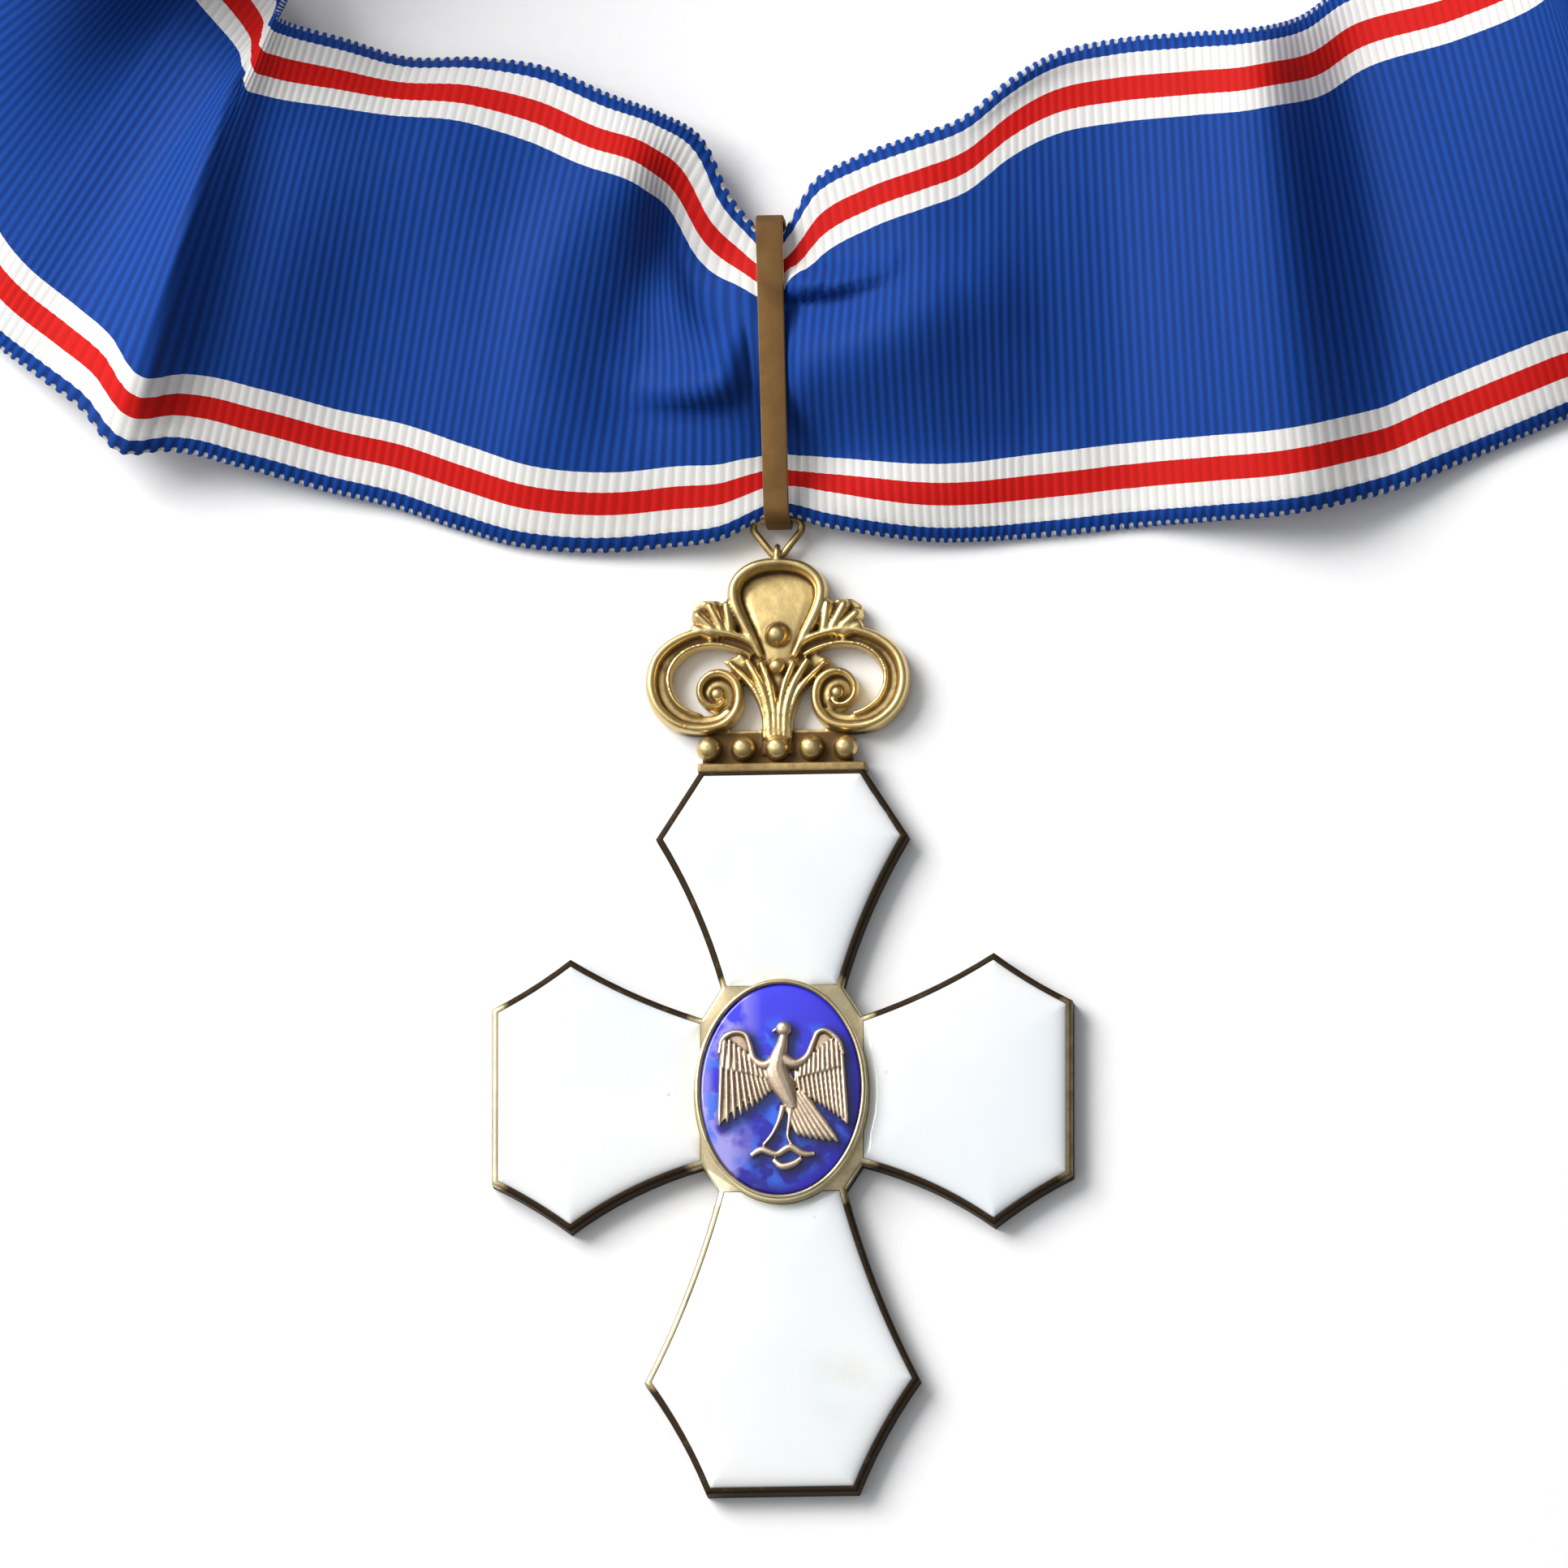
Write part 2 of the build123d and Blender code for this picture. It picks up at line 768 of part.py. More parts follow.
def patch(a, b, c, d):
    """Two flat triangles between four corners."""
    first = Face(Wire.make_polygon([a, b, c]))
    second = Face(Wire.make_polygon([a, c, d]))
    return [first, second]


facets = []
last_row = ribbon_rows
for i in range(len(grid)):
    k = (i + 1) % len(grid)
    for j in range(ribbon_rows):
        facets += patch(outer_side[i][j], outer_side[k][j], outer_side[k][j + 1], outer_side[i][j + 1])
        facets += patch(inner_side[i][j], inner_side[i][j + 1], inner_side[k][j + 1], inner_side[k][j])
    facets += patch(outer_side[i][0], inner_side[i][0], inner_side[k][0], outer_side[k][0])
    facets += patch(
        outer_side[i][last_row], outer_side[k][last_row], inner_side[k][last_row], inner_side[i][last_row]
    )

with BuildPart() as ribbon:
    add(Solid(Shell(facets)))
ribbon.part.label = "ribbon"
export_step(ribbon.part, "parts/ribbon.step")
print("ribbon", len(facets), "triangles,", round(around), "mm round,", round(ribbon.part.volume), "mm3")

# Clasp: a plain sleeve on the ribbon at the back of the neck

clasp_height = ribbon_width + 2 * back_edge_z
clasp_place = (neck_centre[0], neck_centre[1] + neck_radius + clasp_shift, 0)
with BuildPart() as ribbon_clasp:
    with Locations(clasp_place):
        Box(
            clasp_length,
            clasp_slot + 2 * clasp_wall,
            clasp_height,
            align=(Align.CENTER, Align.CENTER, Align.MIN),
        )
    with Locations((clasp_place[0], clasp_place[1], clasp_height / 2)):
        Box(clasp_length, clasp_slot, clasp_height - 2 * clasp_end_wall, mode=Mode.SUBTRACT)
    fillet(ribbon_clasp.edges().filter_by(Axis.X), radius=clasp_rounding)
ribbon_clasp.part.label = "ribbon_clasp"
export_step(ribbon_clasp.part, "parts/ribbon_clasp.step")
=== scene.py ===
# %% [markdown]
# # An order neck badge on its ribbon
# The badge is an enamelled cross with an openwork crest. A wire link and a strip loop
# hang it on a wide ribbed neck ribbon. It lies face up on a pale table.
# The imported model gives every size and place. Each cell below makes one piece or one
# finish, and says what it is on the real badge and why it is made this way.

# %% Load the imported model
import math

import bpy
import numpy as np
from mathutils import Matrix, Vector
from mathutils.geometry import delaunay_2d_cdt
from mathutils.kdtree import KDTree


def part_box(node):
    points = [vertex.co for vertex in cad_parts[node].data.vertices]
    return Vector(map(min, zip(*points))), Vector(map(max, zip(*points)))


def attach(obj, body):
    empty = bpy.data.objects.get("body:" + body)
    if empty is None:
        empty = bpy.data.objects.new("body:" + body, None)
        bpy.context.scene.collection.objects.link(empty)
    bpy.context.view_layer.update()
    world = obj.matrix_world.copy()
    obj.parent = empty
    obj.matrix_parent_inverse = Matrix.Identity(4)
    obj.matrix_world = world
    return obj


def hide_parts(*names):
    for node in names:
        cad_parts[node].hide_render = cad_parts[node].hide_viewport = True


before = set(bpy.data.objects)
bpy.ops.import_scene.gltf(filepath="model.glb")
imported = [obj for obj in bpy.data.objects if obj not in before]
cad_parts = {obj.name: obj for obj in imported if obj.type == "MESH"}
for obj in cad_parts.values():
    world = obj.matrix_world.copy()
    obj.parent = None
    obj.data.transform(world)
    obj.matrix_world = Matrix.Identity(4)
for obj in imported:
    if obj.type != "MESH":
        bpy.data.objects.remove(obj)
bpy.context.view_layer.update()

mm = 0.001
print("nodes:", ", ".join(sorted(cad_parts)))

# %% [markdown]
# ## The camera
# The picture is taken from almost straight above, a little from the right and from the
# cross's foot. A long lens keeps the arms of the cross the same size, so the field of
# view comes from the picture's width and its scale, and the distance can be large.

# %% Camera
picture_width = 1932
pixels_per_mm = 13.88
view_distance = 6000 * mm
view_middle = Vector((0, 28.2, 0)) * mm
toward_camera = Vector((0.09, -0.19, 1)).normalized()

camera_data = bpy.data.cameras.new("camera")
camera_data.sensor_width = 36
camera_data.lens = camera_data.sensor_width * view_distance / (picture_width / pixels_per_mm * mm)
camera = bpy.data.objects.new("camera", camera_data)
bpy.context.scene.collection.objects.link(camera)
picture_up = (Vector((0, 1, 0)) - toward_camera * toward_camera.y).normalized()
picture_right = picture_up.cross(toward_camera)
camera.matrix_world = (
    Matrix.Translation(view_middle + toward_camera * view_distance)
    @ Matrix((picture_right, picture_up, toward_camera)).transposed().to_4x4()
)
bpy.context.scene.camera = camera
print("lens", round(camera_data.lens, 1), "mm")

# %% [markdown]
# ## Small helpers
# A mesh is made from a list of points and a list of faces. Points are written in
# millimetres, as on a drawing, and are turned into metres where the mesh is made. Points
# read back from a mesh are in metres.

# %% Mesh helpers


def make_object(name, points, faces, smooth=True):
    """A new object from points in millimetres."""
    mesh = bpy.data.meshes.new(name)
    mesh.from_pydata([tuple(c * mm for c in p) for p in points], [], faces)
    mesh.polygons.foreach_set("use_smooth", [smooth] * len(mesh.polygons))
    mesh.update()
    made = bpy.data.objects.new(name, mesh)
    bpy.context.scene.collection.objects.link(made)
    return made


def baked(source, name):
    """A plain mesh object from an object with modifiers, which is then removed."""
    scene_state = bpy.context.evaluated_depsgraph_get()
    mesh = bpy.data.meshes.new_from_object(source.evaluated_get(scene_state))
    bpy.data.objects.remove(source)
    made = bpy.data.objects.new(name, mesh)
    bpy.context.scene.collection.objects.link(made)
    return made


def point_array(mesh):
    """The points of a mesh, in metres, as an array of rows."""
    flat = np.zeros(len(mesh.vertices) * 3)
    mesh.vertices.foreach_get("co", flat)
    return flat.reshape(-1, 3)


def dress(piece, material, node):
    """Gives a piece its finish, ties it to the root and hides the solid it stands for."""
    piece.data.materials.clear()
    piece.data.materials.append(material)
    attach(piece, "root")
    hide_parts(node)
    print(piece.name, len(piece.data.polygons), "faces")
    return piece


# %% [markdown]
# ## Marking the recesses
# Gilding wears bright on edges, and its hollows are painted brown: old dirt, and painted
# shade where light does not reach. To paint that, each metal mesh carries a number at
# every point: how far the point lies below a smoothed copy of its own surface. It is
# positive in a hollow and negative on an edge.

# %% Recess marks


def mark_recesses(piece, rounds, depth):
    """Writes the attribute recess: 1 in a hollow of this depth in millimetres, -1 on an edge."""
    mesh = piece.data
    points = point_array(mesh)
    edges = np.zeros(len(mesh.edges) * 2, int)
    mesh.edges.foreach_get("vertices", edges)
    first, second = edges.reshape(-1, 2).T
    share = np.bincount(np.concatenate([first, second]), minlength=len(points))[:, None]
    smooth = points.copy()
    for _ in range(rounds):
        total = np.zeros_like(smooth)
        for axis in range(3):
            total[:, axis] = np.bincount(first, smooth[second, axis], len(points))
            total[:, axis] += np.bincount(second, smooth[first, axis], len(points))
        smooth = total / share
    normals = np.zeros(len(mesh.vertices) * 3)
    mesh.vertices.foreach_get("normal", normals)
    below = ((smooth - points) * normals.reshape(-1, 3)).sum(1) / (depth * mm)
    recess = mesh.attributes.new("recess", "FLOAT", "POINT")
    recess.data.foreach_set("value", np.clip(below, -1, 1).astype(np.float32))


def darken(piece, marks):
    """Raises the recess marks to these values where they are lower."""
    held = piece.data.attributes["recess"].data
    values = np.zeros(len(held))
    held.foreach_get("value", values)
    held.foreach_set("value", np.maximum(values, marks).astype(np.float32))


# %% [markdown]
# ## Building finishes from nodes
# A finish is a small network. These helpers add one node at a time and plug values or
# other nodes into its sockets, so that a material reads like a recipe.

# %% Node helpers


def node(tree, kind, inputs=None, **settings):
    """Adds a node. Inputs are given by name or number, as a value or as a socket."""
    made = tree.nodes.new(kind)
    for name, value in settings.items():
        setattr(made, name, value)
    for name, value in (inputs or {}).items():
        if isinstance(value, bpy.types.NodeSocket):
            tree.links.new(value, made.inputs[name])
        else:
            made.inputs[name].default_value = value
    return made


def calc(tree, operation, *values):
    """One step of arithmetic."""
    return node(tree, "ShaderNodeMath", dict(enumerate(values)), operation=operation).outputs[0]


def blend(tree, share, first, second):
    """Mixes two colours by a share from 0 to 1."""
    mixer = node(tree, "ShaderNodeMix", data_type="RGBA")
    for number, value in ((0, share), (6, first), (7, second)):
        if isinstance(value, bpy.types.NodeSocket):
            tree.links.new(value, mixer.inputs[number])
        else:
            mixer.inputs[number].default_value = value
    return mixer.outputs[2]


def remap(tree, value, low, high, to_low=0.0, to_high=1.0):
    """Stretches a range of values onto another, and holds it at the ends."""
    inputs = {"Value": value, "From Min": low, "From Max": high, "To Min": to_low, "To Max": to_high}
    return node(tree, "ShaderNodeMapRange", inputs).outputs["Result"]


def new_group(name, inputs, outputs):
    """An empty node group with named sockets: a number is a value, four numbers are a colour."""
    tree = bpy.data.node_groups.new(name, "ShaderNodeTree")
    for label, start in inputs.items():
        kind = "NodeSocketColor" if isinstance(start, tuple) else "NodeSocketFloat"
        socket = tree.interface.new_socket(label, in_out="INPUT", socket_type=kind)
        socket.default_value = start
    for label, kind in outputs.items():
        tree.interface.new_socket(label, in_out="OUTPUT", socket_type=kind)
    return tree, tree.nodes.new("NodeGroupInput").outputs, tree.nodes.new("NodeGroupOutput").inputs


def new_material(name):
    """A material with one Principled shader, and the shader's inputs."""
    material = bpy.data.materials.new(name)
    material.use_nodes = True
    return material, material.node_tree, material.node_tree.nodes["Principled BSDF"]


def use_group(tree, group, inputs):
    """Places a node group in a material with its own values."""
    placed = tree.nodes.new("ShaderNodeGroup")
    placed.node_tree = group
    for name, value in inputs.items():
        if isinstance(value, bpy.types.NodeSocket):
            tree.links.new(value, placed.inputs[name])
        else:
            placed.inputs[name].default_value = value
    return placed.outputs


# %% [markdown]
# ## Wear and hollow shade on metal, shared by all gilt and brass pieces
# The group reads the recess mark and a fine noise. It gives a colour that runs from
# polished metal on edges, through the plain gilt, to brown in the hollows, which is old
# dirt and painted shade, a roughness that follows it, and a height for small dents and
# casting grain.

# %% Metal wear group
wear_and_shade_group, wear_and_shade_in, wear_and_shade_out = new_group(
    "metal wear and hollow shade",
    {
        "Metal": (0.8, 0.6, 0.3, 1.0),
        "Bright": (1.0, 0.85, 0.6, 1.0),
        "Dirt And Shade": (0.1, 0.05, 0.02, 1.0),
        "Dirt And Shade Amount": 0.8,
        "Patches": 0.3,
        "Roughness": 0.3,
        "Scale": 900.0,
    },
    {"Color": "NodeSocketColor", "Roughness": "NodeSocketFloat", "Height": "NodeSocketFloat"},
)
place = node(wear_and_shade_group, "ShaderNodeTexCoord").outputs["Object"]
mark = node(wear_and_shade_group, "ShaderNodeAttribute", attribute_name="recess").outputs["Fac"]
grain_inputs = {"Vector": place, "Scale": wear_and_shade_in["Scale"], "Detail": 6.0, "Roughness": 0.6}
grain = node(wear_and_shade_group, "ShaderNodeTexNoise", grain_inputs).outputs[0]
cloud = node(wear_and_shade_group, "ShaderNodeTexNoise", {"Vector": place, "Scale": 230.0, "Detail": 3.0}).outputs[0]
jitter = calc(wear_and_shade_group, "MULTIPLY", calc(wear_and_shade_group, "SUBTRACT", grain, 0.5), 0.45)
ragged = calc(wear_and_shade_group, "ADD", mark, jitter)
# Painted shade, with old dirt: the hollows are mixed towards the dark hollow colour.
hollow = calc(wear_and_shade_group, "MULTIPLY", remap(wear_and_shade_group, ragged, 0.05, 0.75), wear_and_shade_in["Dirt And Shade Amount"])
edge = remap(wear_and_shade_group, ragged, -0.15, -0.8)
tarnish = calc(wear_and_shade_group, "MULTIPLY", remap(wear_and_shade_group, cloud, 0.45, 0.75), wear_and_shade_in["Patches"])
stained = blend(wear_and_shade_group, tarnish, wear_and_shade_in["Metal"], wear_and_shade_in["Dirt And Shade"])
polished = blend(wear_and_shade_group, edge, stained, wear_and_shade_in["Bright"])
wear_and_shade_group.links.new(blend(wear_and_shade_group, hollow, polished, wear_and_shade_in["Dirt And Shade"]), wear_and_shade_out["Color"])
dirt_rough = calc(wear_and_shade_group, "MULTIPLY", hollow, 0.35)
grain_rough = calc(wear_and_shade_group, "MULTIPLY", grain, 0.12)
rough_parts = calc(wear_and_shade_group, "ADD", dirt_rough, grain_rough)
wear_and_shade_group.links.new(calc(wear_and_shade_group, "ADD", rough_parts, wear_and_shade_in["Roughness"]), wear_and_shade_out["Roughness"])
dents = calc(wear_and_shade_group, "MULTIPLY", cloud, 1.5)
wear_and_shade_group.links.new(calc(wear_and_shade_group, "ADD", grain, dents), wear_and_shade_out["Height"])
print("group:", wear_and_shade_group.name)

# %% Metal finishes
grain_depth = 0.05


def metal_finish(name, metal, bright, dirt_and_shade, dirt_and_shade_amount, patches, roughness, scale, bump):
    """A metal material from the wear group."""
    material, tree, shader = new_material(name)
    worn = use_group(
        tree,
        wear_and_shade_group,
        {
            "Metal": (*metal, 1),
            "Bright": (*bright, 1),
            "Dirt And Shade": (*dirt_and_shade, 1),
            "Dirt And Shade Amount": dirt_and_shade_amount,
            "Patches": patches,
            "Roughness": roughness,
            "Scale": scale,
        },
    )
    tree.links.new(worn["Color"], shader.inputs["Base Color"])
    tree.links.new(worn["Roughness"], shader.inputs["Roughness"])
    shader.inputs["Metallic"].default_value = 1.0
    relief_inputs = {"Height": worn["Height"], "Strength": bump, "Distance": grain_depth * mm}
    relief = node(tree, "ShaderNodeBump", relief_inputs)
    tree.links.new(relief.outputs["Normal"], shader.inputs["Normal"])
    return material


# Each finish: name, metal, bright edge, dirt and shade colour, dirt and shade amount,
# patches, roughness, grain scale, bump.
gilt = metal_finish(
    "worn fire gilt", (0.76, 0.57, 0.25), (1.0, 0.87, 0.54), (0.15, 0.09, 0.038), 1.0, 0.6, 0.30, 1500.0, 0.4
)
rim_gilt = metal_finish(
    "gilt rim", (0.52, 0.40, 0.20), (1.0, 0.92, 0.66), (0.045, 0.030, 0.018), 1.0, 0.6, 0.26, 1100.0, 0.35
)
rose_gilt = metal_finish(
    "rose gilt", (0.62, 0.48, 0.35), (0.92, 0.78, 0.60), (0.14, 0.085, 0.06), 1.0, 0.45, 0.34, 2500.0, 0.5
)
brass = metal_finish(
    "aged brass", (1.0, 0.66, 0.24), (1.0, 0.86, 0.48), (0.16, 0.085, 0.034), 0.9, 0.9, 0.42, 600.0, 0.8
)
print("metals:", gilt.name, rim_gilt.name, rose_gilt.name, brass.name)

# %% [markdown]
# ## The ribbon
# A neck ribbon of ribbed silk: a closed band, 44 mm wide and 498 mm round. In front it
# lies on the table, folded at the left and gathered where the strip loop grips it, and
# behind it stands up, as it does round a neck.
# A cloth simulation would have to guess these folds. Here each row of the table is one
# rib of the cloth as it lies, with its lower end, its upper end and how high the cloth
# arches between them, and a smooth curve runs through the rows. The solid model uses
# the same rows, so both agree.

# %% Ribbon table
ribbon_width = 44.0
ribbon_thickness = 0.55
rib_pitch = 0.83
loop_row = 13
neck_centre = (4.0, 132.0)
neck_radius = 80.0
flat_spread = 18.0
back_edge_z = 0.7
pleat_depth = 0.7
pleat_reach = 13.0
pleat_count = 2.0

ribbon_ribs = [
    # (low_x, low_y, low_z, top_x, top_y, top_z, arch, peak)
    (-72.0, 70.7, 1.5, -47.6, 104.6, 8.5, 3.0, 0.5),
    (-66.0, 65.4, 3.0, -43.8, 99.1, 7.5, 3.0, 0.5),
    (-62.3, 62.4, 4.5, -44.1, 97.7, 8.5, 3.5, 0.5),
    (-58.5, 58.1, 5.5, -44.5, 96.6, 9.0, 4.0, 0.5),
    (-55.0, 58.3, 5.0, -43.7, 96.3, 8.0, 3.6, 0.6),
    (-47.9, 57.0, 3.0, -38.7, 95.3, 4.5, 4.2, 0.65),
    (-40.8, 55.1, 1.6, -33.2, 94.0, 1.8, 5.0, 0.72),
    (-35.0, 53.7, 1.0, -27.1, 93.9, 1.8, 4.6, 0.7),
    (-29.3, 51.7, 0.6, -21.0, 92.8, 3.0, 3.4, 0.6),
    (-23.5, 50.0, 0.6, -15.2, 90.0, 4.4, 3.2, 0.5),
    (-16.2, 49.3, 0.9, -10.5, 88.1, 4.4, 3.4, 0.5),
    (-10.4, 49.5, 1.5, -7.2, 86.3, 4.0, 2.0, 0.5),
    (-5.7, 49.9, 2.2, -4.4, 82.9, 3.4, 0.6, 0.5),
    (-0.7, 52.0, 2.4, -0.9, 76.9, 2.6, 0.0, 0.5),
    (4.2, 50.9, 2.2, 3.2, 82.2, 3.4, 0.6, 0.5),
    (8.6, 50.2, 1.6, 7.0, 84.1, 4.0, 2.0, 0.5),
    (13.8, 49.7, 1.0, 12.3, 85.9, 4.4, 3.0, 0.5),
    (17.2, 49.7, 0.8, 16.4, 87.4, 4.5, 3.0, 0.5),
    (20.6, 49.9, 0.6, 20.3, 90.4, 4.6, 3.0, 0.5),
    (25.9, 50.3, 0.6, 24.6, 92.9, 4.6, 2.2, 0.5),
    (31.5, 50.8, 0.6, 29.7, 94.1, 4.6, 1.2, 0.5),
    (38.8, 50.9, 2.4, 36.5, 94.4, 5.6, 1.6, 0.5),
    (46.2, 51.1, 4.4, 42.5, 94.4, 7.0, 2.0, 0.5),
    (53.5, 53.0, 2.8, 46.3, 96.0, 4.0, 0.4, 0.5),
    (60.6, 56.0, 1.2, 50.1, 98.9, 2.4, 0.2, 0.5),
    (69.5, 59.8, 0.8, 59.3, 100.4, 6.0, 3.0, 0.5),
    (77.5, 63.4, 0.7, 67.0, 102.6, 13.0, 3.0, 0.5),
]
neck_turns = [
    # (angle, lean)
    (-23.0, 44.0),
    (-11.0, 60.0),
    (2.0, 73.0),
    (20.0, 85.0),
    (38.0, 90.0),
    (64.0, 90.0),
    (90.0, 90.0),
    (116.0, 90.0),
    (142.0, 90.0),
    (160.0, 85.0),
    (178.0, 73.0),
    (192.0, 58.0),
    (204.0, 42.0),
]
print(len(ribbon_ribs), "ribs as they lie,", len(neck_turns), "round the neck")

# %% [markdown]
# Small creases lie on top of that shape. Each is a bent line seen from above, with its
# width on the left and right hand of someone who walks along it, its height at both ends
# (below zero is a valley) and a smooth fade to the sides. A narrow side is a sharp fold.
# Where the strip loop gathers the cloth, the ribs bend as well, most of all near their
# upper end. Inside the strip loop the cloth has little room up and down, and it gets more
# with every millimetre away from it.

# %% Crease table
creases = [
    # (start_x, start_y, mid_x, mid_y, end_x, end_y,
    #  left_width, right_width, start_height, end_height)
    (0.4, 73.2, 3.8, 73.0, 9.0, 74.6, 1.8, 0.5, 4.2, 0.7),
    (0.6, 64.9, 8.0, 66.6, 17.0, 71.0, 4.0, 5.0, 3.3, 1.2),
    (1.5, 57.0, 10.0, 56.5, 21.0, 58.0, 4.5, 2.2, -2.4, -0.8),
    (22.0, 90.0, 24.0, 72.0, 24.5, 55.0, 9.0, 8.0, -2.7, -1.4),
    (-1.8, 64.9, -8.0, 61.6, -13.2, 63.4, 0.7, 3.0, 4.2, 0.4),
    (-7.0, 78.5, -13.5, 72.5, -13.8, 62.0, 5.0, 4.0, -3.8, -1.6),
    (-13.0, 84.0, -24.0, 74.0, -21.5, 60.0, 3.5, 3.5, 1.0, 0.6),
    (-48.1, 91.3, -52.4, 78.0, -56.2, 64.2, 0.8, 5.0, 1.4, 1.2),
    (-45.0, 90.0, -49.5, 76.0, -52.8, 62.0, 4.0, 2.0, -1.2, -1.0),
    (44.6, 91.0, 47.5, 70.0, 48.0, 53.0, 2.6, 2.6, 0.8, 0.6),
    (50.0, 91.0, 54.0, 72.0, 54.5, 56.0, 2.6, 2.6, -1.0, -0.8),
]
bends = [
    # (place along the ribbon from the strip loop, reach, shift_x, shift_y, part at the edge)
    (-7.0, 6.0, -3.0, -0.9, 0.0),
    (-4.4, 2.3, -0.4, -1.9, 0.9),
    (-1.2, 1.3, 0.0, 1.4, 0.0),
    (8.0, 8.0, 1.0, -1.7, 0.0),
]
lowest = 0.45
strip_middle_z = 2.5
strip_room = 1.45
strip_reach = 1.6
room_growth = (1.4, 0.4)
bend_peak = 0.8
crease_fade = 0.3
cloth_samples = 161
print(len(creases), "creases,", len(bends), "bends")

# %% Ribbon shape


def standing_rib(turn, lean):
    """A rib of the hidden stretch, which leans up from the table towards the neck."""
    across, up = math.cos(math.radians(lean)), math.sin(math.radians(lean))
    out_x, out_y = math.cos(math.radians(turn)), math.sin(math.radians(turn))
    low_reach = neck_radius + flat_spread * across
    top_reach = low_reach - ribbon_width * across
    low = (neck_centre[0] + low_reach * out_x, neck_centre[1] + low_reach * out_y)
    top = (neck_centre[0] + top_reach * out_x, neck_centre[1] + top_reach * out_y)
    return (*low, back_edge_z, *top, back_edge_z + ribbon_width * up, 0.0, 0.5)


all_ribs = np.array(ribbon_ribs + [standing_rib(*row) for row in neck_turns])
middles = (all_ribs[:, 0:3] + all_ribs[:, 3:6]) / 2
steps = np.linalg.norm(np.roll(middles, -1, axis=0) - middles, axis=1)
marks = np.concatenate([[0.0], np.cumsum(steps)])
around = marks[-1]
step_in, step_out = np.roll(steps, 1)[:, None], steps[:, None]
rate_in = (all_ribs - np.roll(all_ribs, 1, axis=0)) / step_in
rate_out = (np.roll(all_ribs, -1, axis=0) - all_ribs) / step_out
rib_slopes = (rate_in * step_out + rate_out * step_in) / (step_in + step_out)


def ribs_at(distances):
    """The ribs at these distances along the ribbon, on a smooth curve through the rows."""
    number = np.searchsorted(marks, distances, side="right") - 1
    after = (number + 1) % len(all_ribs)
    step = steps[number][:, None]
    share = ((distances - marks[number]) / steps[number])[:, None]
    start_weight = 2 * share**3 - 3 * share**2 + 1
    start_slope = step * (share**3 - 2 * share**2 + share)
    end_slope = step * (share**3 - share**2)
    return (
        start_weight * all_ribs[number]
        + (1 - start_weight) * all_ribs[after]
        + start_slope * rib_slopes[number]
        + end_slope * rib_slopes[after]
    )


def crease_height(x, y, row):
    """How much one crease lifts the cloth at points seen from above."""
    start, middle, end = np.array(row[0:2]), np.array(row[2:4]), np.array(row[4:6])
    left_width, right_width, start_height, end_height = row[6:10]
    nearest = np.full(x.shape, np.inf)
    height, side = np.zeros(x.shape), np.zeros(x.shape)
    for share in np.linspace(0, 1, 33):
        point = (1 - share) ** 2 * start + 2 * share * (1 - share) * middle + share**2 * end
        ahead = (1 - share) * (middle - start) + share * (end - middle)
        away = (x - point[0]) ** 2 + (y - point[1]) ** 2
        turned = (ahead[0] * (y - point[1]) - ahead[1] * (x - point[0])) / np.linalg.norm(ahead)
        closer = away < nearest
        nearest = np.where(closer, away, nearest)
        height = np.where(closer, start_height + (end_height - start_height) * share, height)
        side = np.where(closer, turned / np.sqrt(away + 1e-6), side)
    width = (left_width + right_width) / 2 + np.clip(side, -1, 1) * (left_width - right_width) / 2
    return height * np.exp(-nearest / width**2)


rib_count = round(around / rib_pitch)
seen_ribs = math.ceil(marks[len(ribbon_ribs)] / around * rib_count)
seen_turns = [i / 4 for i in range(4 * seen_ribs)]
hidden_turns = [seen_ribs + i / 2 for i in range(2 * (rib_count - seen_ribs))]
turns = np.array(seen_turns + hidden_turns)
column_count = len(turns)
distances = turns * around / rib_count
rows = ribs_at(distances)
share = np.linspace(0, 1, cloth_samples)[None, :]
cloth_x = rows[:, 0:1] + (rows[:, 3:4] - rows[:, 0:1]) * share
cloth_y = rows[:, 1:2] + (rows[:, 4:5] - rows[:, 1:2]) * share
cloth_z = rows[:, 2:3] + (rows[:, 5:6] - rows[:, 2:3]) * share
cloth_z += rows[:, 6:7] * np.sin(np.pi * share ** (np.log(0.5) / np.log(rows[:, 7:8])))
gather = np.exp(-(((distances - marks[loop_row]) / pleat_reach) ** 2))[:, None]
cloth_z += pleat_depth * gather * np.sin(np.pi * share) ** 2 * np.sin(2 * np.pi * pleat_count * share)
seen = (distances < marks[len(ribbon_ribs)])[:, None] * np.sin(np.pi * share) ** crease_fade
for row in creases:
    cloth_z += seen * crease_height(cloth_x, cloth_y, row)
from_loop = (distances - marks[loop_row])[:, None]
near_top = share**4 * (1 - share) / (bend_peak**4 * (1 - bend_peak))
for along_place, reach, shift_x, shift_y, edge_part in bends:
    bent = np.exp(-(((from_loop - along_place) / reach) ** 2)) * (near_top + edge_part * share**6)
    cloth_x, cloth_y = cloth_x + shift_x * bent, cloth_y + shift_y * bent
past_strip = np.maximum(np.abs(from_loop) - strip_reach, 0)
room = strip_room + room_growth[0] * past_strip + room_growth[1] * past_strip**2
cloth_z = np.maximum(strip_middle_z + room * np.tanh((cloth_z - strip_middle_z) / room), lowest)
print("ribbon", round(around, 1), "mm round,", rib_count, "ribs,", column_count, "columns")

# %% [markdown]
# The cloth is as long across a fold as it is where it lies flat, so the points of each
# rib are spread again along the folded line. Where the loop gathers the cloth, the
# middle gives way more than the firm striped edges, which nearly keep their true width.
# The band gets a front and a back side, half a thickness from this middle line, and a
# map that counts ribs one way and runs from edge to edge the other.

